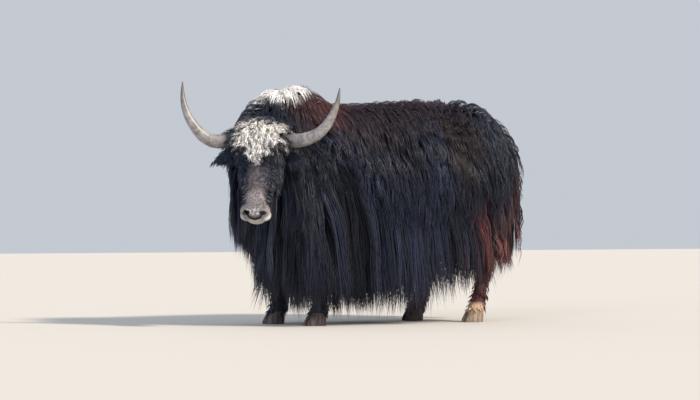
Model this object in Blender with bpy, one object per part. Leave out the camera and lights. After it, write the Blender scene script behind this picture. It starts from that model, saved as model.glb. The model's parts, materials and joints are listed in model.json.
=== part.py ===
"""A life-size domestic yak bull, standing, with its head turned to its left.

Metres, +Z up. The animal faces -Y and its own left side is +X. The body, neck, head, legs and
tail are lofted round short tables of stations, the long coat is flat tapered locks that are
combed over those cores, and each node is one closed solid with a fine gap to its neighbours.
"""

import math
import random

import bmesh
import bpy
from mathutils import Matrix, Vector
from mathutils.bvhtree import BVHTree

GAP = 0.0003  # air between two nodes that touch
HAIR_GAP = 0.0005  # air between the curls and what stands out of them
UP = Vector((0, 0, 1))

# Torso stations: y, top, bottom, half width, height of the widest place, crest roundness.
TORSO = (
    (-0.80, 1.02, 0.80, 0.06, 0.92, 2.0),
    (-0.72, 1.26, 0.64, 0.15, 0.88, 1.9),
    (-0.62, 1.375, 0.55, 0.215, 0.86, 1.75),
    (-0.50, 1.390, 0.50, 0.255, 0.84, 1.65),
    (-0.34, 1.330, 0.48, 0.275, 0.84, 1.8),
    (-0.12, 1.275, 0.49, 0.29, 0.84, 2.1),
    (0.16, 1.265, 0.51, 0.30, 0.84, 2.3),
    (0.42, 1.28, 0.56, 0.295, 0.86, 2.3),
    (0.62, 1.29, 0.61, 0.275, 0.90, 2.2),
    (0.76, 1.25, 0.70, 0.225, 0.94, 2.1),
    (0.86, 1.13, 0.82, 0.13, 0.98, 2.0),
    (0.895, 1.03, 0.92, 0.04, 0.98, 2.0),
)

# Neck stations: x, y, top, bottom, half width, direction of the neck in degrees from -Y.
NECK = (
    (0.0, -0.46, 1.34, 0.54, 0.21, 0.0),
    (0.0, -0.62, 1.365, 0.56, 0.205, 4.0),
    (0.05, -0.74, 1.30, 0.62, 0.175, 22.0),
    (0.13, -0.815, 1.195, 0.71, 0.145, 42.0),
    (0.205, -0.865, 1.13, 0.79, 0.125, 52.0),
    (0.27, -0.905, 1.08, 0.88, 0.10, 54.0),
)
# The masses of the shoulders and haunches: name, centre, radii.
MUSCLES = (
    ("shoulder_left", (0.185, -0.46, 0.84), (0.115, 0.16, 0.30)),
    ("shoulder_right", (-0.185, -0.46, 0.84), (0.115, 0.16, 0.30)),
    ("haunch_left", (0.185, 0.55, 0.86), (0.125, 0.23, 0.30)),
    ("haunch_right", (-0.185, 0.50, 0.86), (0.125, 0.23, 0.30)),
)
NECK_CUT = (Vector((0.0, -0.66, 0.95)), Vector((0.17, -0.985, 0.0)).normalized())

HEAD_TURN = math.radians(54)  # the head looks this far round to the animal's left
FACE_SLOPE = math.radians(22)  # the face hangs this far from upright
HORN_LINE = Vector((0.287, -0.902, 1.063))  # midway between the horn bases
FORWARD = Vector((math.sin(HEAD_TURN), -math.cos(HEAD_TURN), 0))
SIDE = Vector((math.cos(HEAD_TURN), math.sin(HEAD_TURN), 0))
MUZZLE_WAY = (FORWARD * math.sin(FACE_SLOPE) - UP * math.cos(FACE_SLOPE)).normalized()
FACE_OUT = (FORWARD * math.cos(FACE_SLOPE) + UP * math.sin(FACE_SLOPE)).normalized()

# Head stations, down the face from the horn line: distance, half width, face side, jaw side.
HEAD = (
    (-0.100, 0.045, 0.020, -0.030),
    (-0.080, 0.092, 0.055, -0.070),
    (-0.030, 0.124, 0.082, -0.115),
    (0.040, 0.133, 0.090, -0.145),
    (0.100, 0.128, 0.084, -0.152),
    (0.165, 0.110, 0.074, -0.146),
    (0.245, 0.090, 0.064, -0.124),
    (0.325, 0.080, 0.056, -0.098),
    (0.395, 0.080, 0.050, -0.080),
    (0.440, 0.080, 0.040, -0.066),
    (0.468, 0.062, 0.020, -0.054),
    (0.482, 0.030, 0.000, -0.036),
)
HEAD_CUT = -0.105  # the neck begins this far behind the face's centre plane
EYE = {"along": 0.105, "side": 0.106, "out": 0.046, "radius": 0.023, "lid": 0.0045}
MOUTH = {"corner": 0.375, "front": 0.53, "corner_out": -0.044, "front_out": -0.012,
         "gap": 0.0035, "half_width": 0.11}
MUZZLE = {"along": 0.435, "out": 0.014, "half_width": 0.093, "length": 0.050, "depth": 0.042}
CHIN = {"along": 0.455, "out": -0.044, "half_width": 0.058, "length": 0.036, "depth": 0.027}
NOSTRIL = {"along": 0.458, "side": 0.047, "out": 0.020, "length": 0.018, "width": 0.009}

# Horn centre line, from the horn line outwards: aside, up, forwards, radius.
HORN_LEFT = (
    (0.085, 0.000, -0.010, 0.040),
    (0.178, -0.004, 0.000, 0.041),
    (0.257, 0.002, 0.022, 0.039),
    (0.330, 0.031, 0.040, 0.034),
    (0.381, 0.076, 0.048, 0.0285),
    (0.418, 0.138, 0.046, 0.0225),
    (0.444, 0.212, 0.034, 0.014),
    (0.455, 0.291, 0.016, 0.003),
)
HORN_RIGHT = (
    (0.085, 0.002, -0.010, 0.040),
    (0.170, -0.004, 0.000, 0.042),
    (0.262, -0.004, 0.022, 0.040),
    (0.322, 0.026, 0.040, 0.035),
    (0.370, 0.078, 0.048, 0.0295),
    (0.412, 0.150, 0.046, 0.0235),
    (0.438, 0.236, 0.034, 0.015),
    (0.444, 0.333, 0.016, 0.003),
)

EAR = {"along": 0.075, "side": 0.112, "out": -0.045, "length": 0.165, "width": 0.078,
       "thick": 0.034, "droop": 0.22, "back": 0.25}

# Leg stations: x, y, z, half width, half depth. Each runs from inside the trunk to the foot.
LEGS = {
    "leg_front_left": (
        (0.195, -0.44, 0.74, 0.085, 0.125),
        (0.192, -0.45, 0.58, 0.070, 0.088),
        (0.182, -0.450, 0.44, 0.055, 0.064),
        (0.175, -0.455, 0.37, 0.052, 0.058),
        (0.172, -0.448, 0.27, 0.041, 0.046),
        (0.170, -0.448, 0.17, 0.043, 0.050),
        (0.170, -0.455, 0.115, 0.052, 0.058),
        (0.170, -0.468, 0.070, 0.054, 0.058),
        (0.170, -0.475, 0.046, 0.050, 0.050),
    ),
    "leg_front_right": (
        (-0.195, -0.46, 0.74, 0.085, 0.125),
        (-0.192, -0.50, 0.58, 0.070, 0.088),
        (-0.182, -0.535, 0.44, 0.055, 0.064),
        (-0.175, -0.550, 0.37, 0.052, 0.058),
        (-0.172, -0.540, 0.27, 0.041, 0.046),
        (-0.170, -0.536, 0.17, 0.043, 0.050),
        (-0.170, -0.545, 0.115, 0.052, 0.058),
        (-0.170, -0.560, 0.070, 0.054, 0.058),
        (-0.170, -0.567, 0.046, 0.050, 0.050),
    ),
    "leg_hind_left": (
        (0.185, 0.52, 0.84, 0.095, 0.190),
        (0.195, 0.52, 0.68, 0.085, 0.145),
        (0.190, 0.60, 0.52, 0.060, 0.095),
        (0.184, 0.665, 0.43, 0.048, 0.068),
        (0.182, 0.668, 0.33, 0.041, 0.050),
        (0.180, 0.648, 0.22, 0.041, 0.046),
        (0.180, 0.625, 0.125, 0.050, 0.056),
        (0.180, 0.605, 0.072, 0.052, 0.058),
        (0.180, 0.597, 0.046, 0.048, 0.050),
    ),
    "leg_hind_right": (
        (-0.185, 0.45, 0.84, 0.095, 0.190),
        (-0.195, 0.43, 0.68, 0.085, 0.145),
        (-0.190, 0.475, 0.52, 0.060, 0.095),
        (-0.184, 0.525, 0.43, 0.048, 0.068),
        (-0.182, 0.510, 0.33, 0.041, 0.050),
        (-0.180, 0.468, 0.22, 0.041, 0.046),
        (-0.180, 0.428, 0.125, 0.050, 0.056),
        (-0.180, 0.402, 0.072, 0.052, 0.058),
        (-0.180, 0.393, 0.046, 0.048, 0.050),
    ),
}
HOOF = {"length": 0.118, "width": 0.051, "height": 0.074, "cleft": 0.010, "lean": 0.020}

# Tail core: y, z, radius, down the dock.
TAIL = (
    (0.80, 1.17, 0.040),
    (0.89, 1.125, 0.038),
    (0.935, 1.04, 0.034),
    (0.950, 0.90, 0.030),
    (0.952, 0.76, 0.024),
    (0.952, 0.64, 0.012),
)

LOCK_STEPS = 4
LOCK_SINK = 0.018  # a lock's root lies this deep inside its core
LOCK_THICK = 0.013
LOCK_SPREAD = (0.55, 1.0, 0.98, 0.80, 0.50)  # a lock's width from root to tip
LOWEST_TIP = 0.045
MERGE = 0.000001  # points closer than this are one
NUDGE = 0.0012
STRAIGHTEST = 0.70  # the cosine of the sharpest bend in a lock
LOCK_AIR = 0.0015  # a lock keeps at least this much clear of another node
SWAY = 0.14  # how far a lock bends aside from its neighbours
STAGGER = 0.010  # every second lock of a tier lies this much further out

# Tiers of the coat on each flank: root height, tip height, width, count, lift off the core.
FLANK_TIERS = (
    {"root": 0.82, "tip": None, "width": 0.150, "count": 12, "lift": 0.012},
    {"root": 0.97, "tip": 0.38, "width": 0.155, "count": 10, "lift": 0.030},
    {"root": 1.14, "tip": 0.68, "width": 0.180, "count": 8, "lift": 0.040},
)
FLANK = (-0.60, 0.80)  # from the shoulder to the haunch
SHOULDER = {"places": (-0.585, -0.51, -0.43, -0.35), "root": 0.90, "tip": 0.06, "width": 0.12,
            "lift": 0.026}
CREST = {"aside": 0.04, "start": -0.60, "span": 1.36, "width": 0.180, "count": 9,
         "length": 0.30, "lift": 0.030}
RUMP_TIERS = (
    {"root": 0.82, "tip": 0.34, "lift": 0.012},
    {"root": 0.98, "tip": 0.48, "lift": 0.024},
    {"root": 1.12, "tip": 0.70, "lift": 0.030},
)
RUMP_PLACES = (-0.19, -0.115, 0.115, 0.19)
RUMP_WIDTH = 0.12
# Tiers round the neck: root height, tip height, lift, and how far along its stations it grows.
NECK_TIERS = (
    {"root": 0.74, "tip": 0.13, "lift": 0.012, "left": (1.6, 2.6), "right": (1.6, 2.3, 3.0, 3.7)},
    {"root": 0.93, "tip": 0.44, "lift": 0.030, "left": (1.8, 2.9), "right": (1.7, 2.5, 3.3, 4.1)},
    {"root": 1.12, "tip": 0.70, "lift": 0.044, "left": (1.7, 2.8), "right": (1.6, 2.4, 3.2, 4.0)},
)
NECK_WIDTH = 0.115
THROAT = {"stations": (1.7, 2.3, 2.9, 3.5, 4.2), "tips": (0.09, 0.13, 0.20, 0.28, 0.40),
          "aside": 0.05, "width": 0.11}
MANE = {"stations": (1.6, 2.4, 3.2, 4.0), "length": 0.27, "aside": 0.03, "width": 0.12,
        "lift": 0.036}
CHEEK = {"places": (0.13, 0.19, 0.25, 0.31), "out": -0.05, "width": 0.075, "lift": 0.006,
         "length": 0.15}
JAW = {"places": (0.05, 0.12, 0.19, 0.26), "aside": 0.045, "width": 0.08, "length": 0.16}
# Rows of curls down the forehead: distance from the horn line, half width of the row, count.
CURL_ROWS = (
    (-0.092, 0.055, 3),
    (-0.055, 0.110, 4),
    (-0.012, 0.138, 6),
    (0.032, 0.115, 5),
    (0.076, 0.078, 4),
    (0.118, 0.052, 3),
    (0.157, 0.024, 2),
)
CURL = {"radius": 0.032, "flat": 0.62}
TAIL_LOCKS = {"count": 9, "top": 1.10, "bottom": 0.72, "tip": 0.31, "width": 0.075}

# The hem of the coat: y, height of the tips above the floor.
HEM = ((-0.60, 0.07), (0.06, 0.065), (0.14, 0.15), (0.30, 0.19), (0.50, 0.20), (0.66, 0.25),
       (0.80, 0.34))

COLOURS = {
    "coat": (0.020, 0.021, 0.028, 1.0),
    "horn": (0.36, 0.32, 0.29, 1.0),
    "hoof": (0.045, 0.040, 0.040, 1.0),
    "eye": (0.010, 0.008, 0.008, 1.0),
}


def material(name, roughness):
    """The finish of a group of nodes."""
    made = bpy.data.materials.get(name)
    if made is None:
        made = bpy.data.materials.new(name)
        made.use_nodes = True
        shader = made.node_tree.nodes["Principled BSDF"]
        shader.inputs["Base Color"].default_value = COLOURS[name]
        shader.inputs["Roughness"].default_value = roughness
        shader.inputs["Metallic"].default_value = 0.0
    return made


def add_mesh(name, bm, collection):
    """A new object from a bmesh, in triangles that point outwards."""
    bmesh.ops.triangulate(bm, faces=bm.faces)
    bmesh.ops.recalc_face_normals(bm, faces=bm.faces)
    mesh = bpy.data.meshes.new(name)
    bm.to_mesh(mesh)
    bm.free()
    made = bpy.data.objects.new(name, mesh)
    collection.objects.link(made)
    return made


def skin_rings(rings):
    """A closed bmesh through rings of equally many points, each end closed by a fan."""
    bm = bmesh.new()
    loops = [[bm.verts.new(point) for point in ring] for ring in rings]
    count = len(loops[0])
    for first, second in zip(loops, loops[1:]):
        for i in range(count):
            j = (i + 1) % count
            bm.faces.new((first[i], first[j], second[j], second[i]))
    for loop in (loops[0], loops[-1]):
        middle = bm.verts.new(sum((vert.co for vert in loop), Vector()) / count)
        for i in range(count):
            bm.faces.new((loop[i], loop[(i + 1) % count], middle))
    return bm


def between(stations, count):
    """The stations at count even places along a smooth curve through them."""
    spans = len(stations) - 1
    found = []
    for step in range(count):
        place = spans * step / (count - 1)
        span = min(int(place), spans - 1)
        t = place - span
        before = stations[max(span - 1, 0)]
        start, end = stations[span], stations[span + 1]
        after = stations[min(span + 2, spans)]
        found.append(tuple(
            0.5 * (2 * b + (c - a) * t + (2 * a - 5 * b + 4 * c - d) * t ** 2
                   + (3 * b - a - 3 * c + d) * t ** 3)
            for a, b, c, d in zip(before, start, end, after)
        ))
    return found


def oval(sides, half_width, top, middle, bottom, crest=2.0, keel=2.2):
    """(aside, height) points round an oval whose upper and lower halves differ."""
    points = []
    for i in range(sides):
        angle = 2 * math.pi * (i + 0.5) / sides
        power = 2 / (crest if math.sin(angle) > 0 else keel)
        aside = half_width * math.copysign(abs(math.cos(angle)) ** power, math.cos(angle))
        reach = top - middle if math.sin(angle) > 0 else middle - bottom
        rise = reach * math.copysign(abs(math.sin(angle)) ** power, math.sin(angle))
        points.append((aside, middle + rise))
    return points


def torso_core(collection, steps=17, sides=16):
    rings = []
    for y, top, bottom, half, widest, crest in between(TORSO, steps):
        ring = oval(sides, half, top, widest, bottom, crest)
        rings.append([Vector((x, y, z)) for x, z in ring])
    return add_mesh("torso", skin_rings(rings), collection)


def muscle(name, centre, radii, collection):
    """An egg-shaped swelling, such as a shoulder or a haunch."""
    bm = bmesh.new()
    bmesh.ops.create_uvsphere(bm, u_segments=10, v_segments=7, radius=1.0)
    bmesh.ops.transform(bm, matrix=Matrix.Translation(centre) @ Matrix.Diagonal((*radii, 1)),
                        verts=bm.verts)
    return add_mesh(name, bm, collection)


def neck_core(collection, steps=8, sides=16):
    rings = []
    for x, y, top, bottom, half, turn in between(NECK, steps):
        across = Vector((math.cos(math.radians(turn)), math.sin(math.radians(turn)), 0))
        ring = oval(sides, half, top, (top + bottom) / 2, bottom, 1.8, 2.0)
        rings.append([Vector((x, y, 0)) + across * aside + UP * z for aside, z in ring])
    return add_mesh("neck", skin_rings(rings), collection)


def on_head(along, aside, out):
    """A point from its place down the face, to the animal's left and out of the face."""
    return HORN_LINE + MUZZLE_WAY * along + SIDE * aside + FACE_OUT * out


def head_core(collection, steps=18, sides=16):
    rings = []
    for along, half, out, jaw in between(HEAD, steps):
        ring = oval(sides, half, out, (out + jaw) * 0.45, jaw, 2.5, 2.3)
        rings.append([on_head(along, aside, height) for aside, height in ring])
    return add_mesh("head", skin_rings(rings), collection)


def tube(name, points, radii, sides, collection, flat=1.0):
    """A tapering tube through points. flat squeezes it from back to front."""
    rings = []
    side = None
    for i, point in enumerate(points):
        way = (points[min(i + 1, len(points) - 1)] - points[max(i - 1, 0)]).normalized()
        side = way.orthogonal() if side is None else side - way * side.dot(way)
        side.normalize()
        other = way.cross(side) * flat
        rings.append([
            point + (side * math.cos(a) + other * math.sin(a)) * radii[i]
            for a in (2 * math.pi * k / sides for k in range(sides))
        ])
    return add_mesh(name, skin_rings(rings), collection)


def horn(name, line, hand, collection, steps=12, sides=10):
    stations = between(line, steps)
    points = [
        HORN_LINE + SIDE * aside * hand + UP * up + FORWARD * ahead
        for aside, up, ahead, _ in stations
    ]
    return tube(name, points, [station[3] for station in stations], sides, collection)


def ear(name, hand, collection):
    """A leaf-shaped ear with a cup in its front face."""
    way = (SIDE * hand - UP * EAR["droop"] - FORWARD * EAR["back"]).normalized()
    front = (FORWARD - way * FORWARD.dot(way)).normalized()
    upper = front.cross(way)
    root = on_head(EAR["along"], EAR["side"] * hand, EAR["out"])

    def leaf(part, start, end, width, thick, sides, lean, into):
        """Rings down a leaf that is widest before its middle, moved forwards by lean."""
        steps = 6
        rings = []
        for step in range(steps + 1):
            t = step / steps
            swell = max(math.sin(math.pi * min(0.98, 0.16 + 0.84 * t ** 0.8)), 0.06)
            centre = root + way * (start + (end - start) * t) + front * lean
            rings.append([
                centre + upper * math.cos(a) * width * swell
                + front * math.sin(a) * thick * swell
                for a in (2 * math.pi * k / sides for k in range(sides))
            ])
        return add_mesh(part, skin_rings(rings), into)

    made = leaf(name, 0.0, EAR["length"], EAR["width"] / 2, EAR["thick"] / 2, 10, 0.0,
                collection)
    cup = leaf(name + "_cup", EAR["length"] * 0.28, EAR["length"] * 0.90,
               EAR["width"] * 0.34, EAR["thick"] * 0.55, 8, EAR["thick"] * 0.62, cutters())
    cut(made, [cup])
    return made


def leg_core(name, collection, steps=10, sides=8):
    rings = []
    for x, y, z, half, deep in between(LEGS[name], steps):
        rings.append([
            Vector((x + half * math.cos(a), y + deep * math.sin(a), z))
            for a in (2 * math.pi * k / sides for k in range(sides))
        ])
    return add_mesh(name, skin_rings(rings), collection)


def foot_of(name):
    """The middle of the foot on the floor."""
    x, y = LEGS[name][-1][:2]
    return Vector((x, y - 0.012, 0))


def claw(name, leg, hand, collection, sides=8):
    """One toe of a cloven hoof, on a flat sole."""
    centre = foot_of(leg) + Vector((hand * (HOOF["width"] + HOOF["cleft"]) / 2, 0, 0))
    levels = ((0.0, 1.0, 0.0), (0.012, 1.02, 0.1), (0.050, 0.86, 0.62), (HOOF["height"], 0.72, 1.0))
    rings = []
    for z, share, lean in levels:
        ring = []
        for i in range(sides):
            angle = 2 * math.pi * i / sides
            reach = HOOF["length"] / 2 * (1.08 if math.sin(angle) < 0 else 0.92)
            toe_in = -hand * 0.010 * max(0.0, -math.sin(angle)) ** 2
            ring.append(centre + Vector((
                math.cos(angle) * HOOF["width"] / 2 * min(1.0, share) + toe_in,
                math.sin(angle) * reach * share + lean * HOOF["lean"],
                z,
            )))
        rings.append(ring)
    return add_mesh(name, skin_rings(rings), collection)


def cutters():
    """The collection that holds what only cuts. It isn't shown."""
    found = bpy.data.collections.get("cutters")
    if found is None:
        found = bpy.data.collections.new("cutters")
        bpy.context.scene.collection.children.link(found)
        found.hide_render = True
    return found


def apply_modifiers(target):
    """Makes the evaluated mesh the object's own."""
    graph = bpy.context.evaluated_depsgraph_get()
    mesh = bpy.data.meshes.new_from_object(target.evaluated_get(graph))
    target.modifiers.clear()
    old = target.data
    target.data = mesh
    bpy.data.meshes.remove(old)


def put_in_order(target):
    """Sorts a mesh's points and faces, so that every run of the script goes on from the same."""
    points = [tuple(vert.co) for vert in target.data.vertices]
    order = sorted(range(len(points)), key=points.__getitem__)
    rank = {old: new for new, old in enumerate(order)}
    faces = []
    for face in target.data.polygons:
        ring = [rank[i] for i in face.vertices]
        first = ring.index(min(ring))
        faces.append(ring[first:] + ring[:first])
    old = target.data
    target.data = bpy.data.meshes.new(old.name)
    target.data.from_pydata([points[i] for i in order], [], sorted(faces))
    bpy.data.meshes.remove(old)


def boolean(target, others, operation):
    """Booleans with closed pieces, one after another, which are then removed."""
    for other in others:
        modifier = target.modifiers.new(operation.lower(), "BOOLEAN")
        modifier.operation = operation
        modifier.object = other
        modifier.solver = "MANIFOLD"
        bpy.context.view_layer.update()
        apply_modifiers(target)
        put_in_order(target)
        bpy.data.objects.remove(other)
    keep_largest(target)


def join(target, others):
    boolean(target, others, "UNION")


def cut(target, others):
    boolean(target, others, "DIFFERENCE")


def keep_largest(target):
    """Keeps the closed surface with the largest volume, which drops scraps and fills hollows."""
    bm = bmesh.new()
    bm.from_mesh(target.data)
    unseen = set(bm.verts)
    shells = []
    while unseen:
        shell = {unseen.pop()}
        front = list(shell)
        while front:
            vert = front.pop()
            for edge in vert.link_edges:
                other = edge.other_vert(vert)
                if other not in shell:
                    shell.add(other)
                    front.append(other)
        unseen -= shell
        shells.append(shell)
    if len(shells) > 1:
        def span(shell):
            low = [min(vert.co[i] for vert in shell) for i in range(3)]
            high = [max(vert.co[i] for vert in shell) for i in range(3)]
            return math.dist(low, high)
        best = max(shells, key=span)
        bmesh.ops.delete(bm, geom=[vert for vert in bm.verts if vert not in best],
                         context="VERTS")
    bmesh.ops.triangulate(bm, faces=bm.faces)
    bm.to_mesh(target.data)
    bm.free()


def copy_of(source, grow=0.0):
    """A cutter with the shape of another node, grown by a fine gap along its normals."""
    mesh = source.data.copy()
    made = bpy.data.objects.new(source.name + "_copy", mesh)
    cutters().objects.link(made)
    normals = [vert.normal.copy() for vert in mesh.vertices]
    for vert, normal in zip(mesh.vertices, normals):
        vert.co += normal * grow
    return made


def half_space(point, normal):
    """A large box that fills the side of a plane that the normal points to."""
    size = 2.0
    bm = bmesh.new()
    bmesh.ops.create_cube(bm, size=size)
    turn = normal.to_track_quat("Z", "Y").to_matrix().to_4x4()
    place = Matrix.Translation(point + normal * size / 2) @ turn
    bmesh.ops.transform(bm, matrix=place, verts=bm.verts)
    return add_mesh("half_space", bm, cutters())


def eyeball(name, hand, collection, grow=0.0):
    bm = bmesh.new()
    bmesh.ops.create_uvsphere(bm, u_segments=10, v_segments=7, radius=EYE["radius"] + grow)
    centre = on_head(EYE["along"], EYE["side"] * hand, EYE["out"])
    bmesh.ops.translate(bm, vec=centre, verts=bm.verts)
    return add_mesh(name, bm, collection)


def lid_opening(hand):
    """An almond-shaped cutter that opens the lids over the eyeball."""
    centre = on_head(EYE["along"], EYE["side"] * hand, EYE["out"])
    look = (SIDE * hand * 0.80 + FACE_OUT * 0.60).normalized()
    corner = (MUZZLE_WAY * 0.80 + FACE_OUT * 0.35)
    corner = (corner - look * corner.dot(look)).normalized()
    raise_way = look.cross(corner)
    half_long, half_high, sides = 0.0185, 0.0105, 12
    rings = []
    for reach in (0.004, 0.060):
        ring = []
        for i in range(sides):
            angle = 2 * math.pi * i / sides
            high = half_high * math.copysign(abs(math.sin(angle)) ** 1.3, math.sin(angle))
            ring.append(centre + look * reach + corner * half_long * math.cos(angle)
                        + raise_way * high)
        rings.append(ring)
    return add_mesh("lid_opening", skin_rings(rings), cutters())


def swelling(sizes, collection):
    """A rounded form on the face, for the upper lip with the nose pad or for the chin."""
    bm = bmesh.new()
    bmesh.ops.create_uvsphere(bm, u_segments=10, v_segments=6, radius=1.0)
    for vert in bm.verts:
        x, y, z = vert.co
        vert.co = on_head(sizes["along"] + z * sizes["length"], x * sizes["half_width"],
                          sizes["out"] + y * sizes["depth"])
    return add_mesh("swelling", bm, collection)


def mouth_cutter():
    """A thin slit from the corners of the mouth to the front of the lips."""
    bm = bmesh.new()
    bmesh.ops.create_cube(bm, size=1.0)
    for vert in bm.verts:
        end = "corner" if vert.co.x < 0 else "front"
        along = MOUTH[end]
        out = MOUTH[end + "_out"] + vert.co.z * MOUTH["gap"]
        vert.co = on_head(along, vert.co.y * 2 * MOUTH["half_width"], out)
    return add_mesh("mouth", bm, cutters())


def nostril_cutter(hand):
    """A comma-shaped pit at the side of the nose pad."""
    bm = bmesh.new()
    bmesh.ops.create_uvsphere(bm, u_segments=8, v_segments=5, radius=1.0)
    for vert in bm.verts:
        x, y, z = vert.co
        aside = (NOSTRIL["side"] + x * NOSTRIL["length"]) * hand
        bend = 0.010 * x * x
        along = NOSTRIL["along"] + z * 0.024
        out = NOSTRIL["out"] + y * NOSTRIL["width"] - bend + x * 0.006
        vert.co = on_head(along, aside, out)
    return add_mesh("nostril", bm, cutters())


def surface(tree, start, way):
    """Where a ray first meets a core, with the way out there. A ray that misses starts higher."""
    place, normal, _, _ = tree.ray_cast(start, way)
    while place is None and start.z < 2:
        start = start + UP * 0.03
        place, normal, _, _ = tree.ray_cast(start, way)
    return place, normal


def comb(tree, root, normal, lie, length, lift, fall, sway, rise, steps=LOCK_STEPS):
    """The middle line of a lock, with the way out of the coat at each point.

    It starts inside the core at root, sets off along lie, bends down by fall and aside by sway
    at each step and keeps up to lift clear of every core in tree. rise is how steeply it leaves
    the core.
    """
    place = root - normal * LOCK_SINK
    points, outs = [place], [normal.copy()]
    way = (lie + normal * rise).normalized()
    stride = (length + LOCK_SINK) / steps
    for step in range(1, steps + 1):
        share = step / steps
        place = place + way * stride
        near, out, _, distance = tree.find_nearest(place)
        inside = (place - near).dot(out) < 0
        if distance > 1e-5:
            out = (near - place if inside else place - near).normalized()
        want = lift * min(1.0, share / 0.45)
        if inside or distance < want:
            place = near + out * want
        if place.z < LOWEST_TIP:
            place.z = LOWEST_TIP + 0.01 * (1 - share)
        points.append(place)
        blend = out if (place - near).length < 0.12 else outs[-1]
        outs.append((outs[-1] * 0.5 + Vector((blend.x, blend.y, blend.z * 0.4))).normalized())
        travelled = (points[-1] - points[-2]).normalized()
        aside = travelled.cross(outs[-1])
        way = (travelled - UP * fall + aside * sway).normalized()
    return points, outs


def lock_mesh(points, outs, width, thick, grow=0.0):
    """A flat tapered lock with a ridged outer face, along the points of a combed line."""
    rings = []
    for i, point in enumerate(points[:-1]):
        way = (points[i + 1] - points[max(i - 1, 0)]).normalized()
        out = (outs[i] - way * outs[i].dot(way)).normalized()
        side = way.cross(out)
        share = LOCK_SPREAD[i * len(LOCK_SPREAD) // (len(points) - 1)]
        half = width / 2 * share + 2 * grow
        base = point - out * grow
        rings.append((base - side * half, base + side * half, point + out * (thick + grow)))
    bm = bmesh.new()
    loops = [[bm.verts.new(p) for p in ring] for ring in rings]
    for first, second in zip(loops, loops[1:]):
        for i in range(3):
            j = (i + 1) % 3
            bm.faces.new((first[i], first[j], second[j], second[i]))
    bm.faces.new(loops[0])
    tip = bm.verts.new(points[-1])
    for i in range(3):
        bm.faces.new((loops[-1][i], loops[-1][(i + 1) % 3], tip))
    bmesh.ops.triangulate(bm, faces=bm.faces)
    return bm


def pinches(node):
    """Where the surface of a node meets itself in a line, as two facets that touch do."""
    bm = bmesh.new()
    bm.from_mesh(node.data)
    bmesh.ops.triangulate(bm, faces=bm.faces)
    bmesh.ops.remove_doubles(bm, verts=bm.verts, dist=MERGE)
    found = [edge.verts[0].co.copy() for edge in bm.edges if len(edge.link_faces) != 2]
    bm.free()
    return found


def nearest_gap(piece, place):
    """How far a place lies outside the box round a piece."""
    axes = [[vert.co[i] for vert in piece.data.vertices] for i in range(3)]
    return max(max(min(axis) - place[i], place[i] - max(axis)) for i, axis in enumerate(axes))


def fuse(node, pieces):
    """Joins pieces to a node. Pieces that only touch something along a line are nudged."""
    draw = random.Random(len(pieces))
    whole = node.data.copy()
    for _ in range(12):
        copies = []
        for piece in pieces:
            copies.append(bpy.data.objects.new(piece.name, piece.data.copy()))
            cutters().objects.link(copies[-1])
        join(node, copies)
        faults = pinches(node)
        if not faults:
            break
        for piece in pieces:
            if any(nearest_gap(piece, place) < MERGE for place in faults):
                nudge = Vector([draw.uniform(-NUDGE, NUDGE) for _ in range(3)])
                piece.data.transform(Matrix.Translation(nudge))
        node.data = whole.copy()
    for piece in pieces:
        bpy.data.objects.remove(piece)


class Coat:
    """Combs the locks of one node over its core and clear of the other nodes."""

    def __init__(self, node, others, seed):
        self.node = node
        self.core = tree_of([node])
        self.all = tree_of([node, *others])
        self.others = tree_of(others)
        self.random = random.Random(seed)
        self.locks = []

    def add(self, start, way, lie, tip, width, lift, fall=0.65, rise=0.18, length=None):
        """Adds a lock rooted where a ray from start meets the core, hanging to the height tip.

        One that kinks or meets another node is lifted, then narrowed and shortened.
        """
        root, normal = surface(self.core, start, way)
        if root is None:
            return
        length = (root.z - tip) * 1.06 if length is None else length
        sway = self.random.uniform(-SWAY, SWAY)
        for attempt in range(7):
            points, outs = comb(self.all, root, normal, lie, length, lift, fall, sway, rise)
            probe = lock_mesh(points, outs, width, LOCK_THICK, LOCK_AIR)
            meets = BVHTree.FromBMesh(probe).overlap(self.others)
            probe.free()
            ways = [(b - a).normalized() for a, b in zip(points, points[1:])]
            kinks = any(a.dot(b) < STRAIGHTEST for a, b in zip(ways, ways[1:]))
            if not meets and not kinks:
                bm = lock_mesh(points, outs, width, LOCK_THICK)
                self.locks.append(add_mesh("lock", bm, cutters()))
                return
            lift += 0.008
            sway *= 0.5
            if attempt > 2:
                width *= 0.8
                length *= 0.85

    def fuse(self):
        fuse(self.node, self.locks)


def hem_height(y):
    """How far above the floor the coat's tips hang at a place along the body."""
    for (y0, z0), (y1, z1) in zip(HEM, HEM[1:]):
        if y <= y1:
            return z0 + (z1 - z0) * max(0.0, (y - y0) / (y1 - y0))
    return HEM[-1][1]


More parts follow.
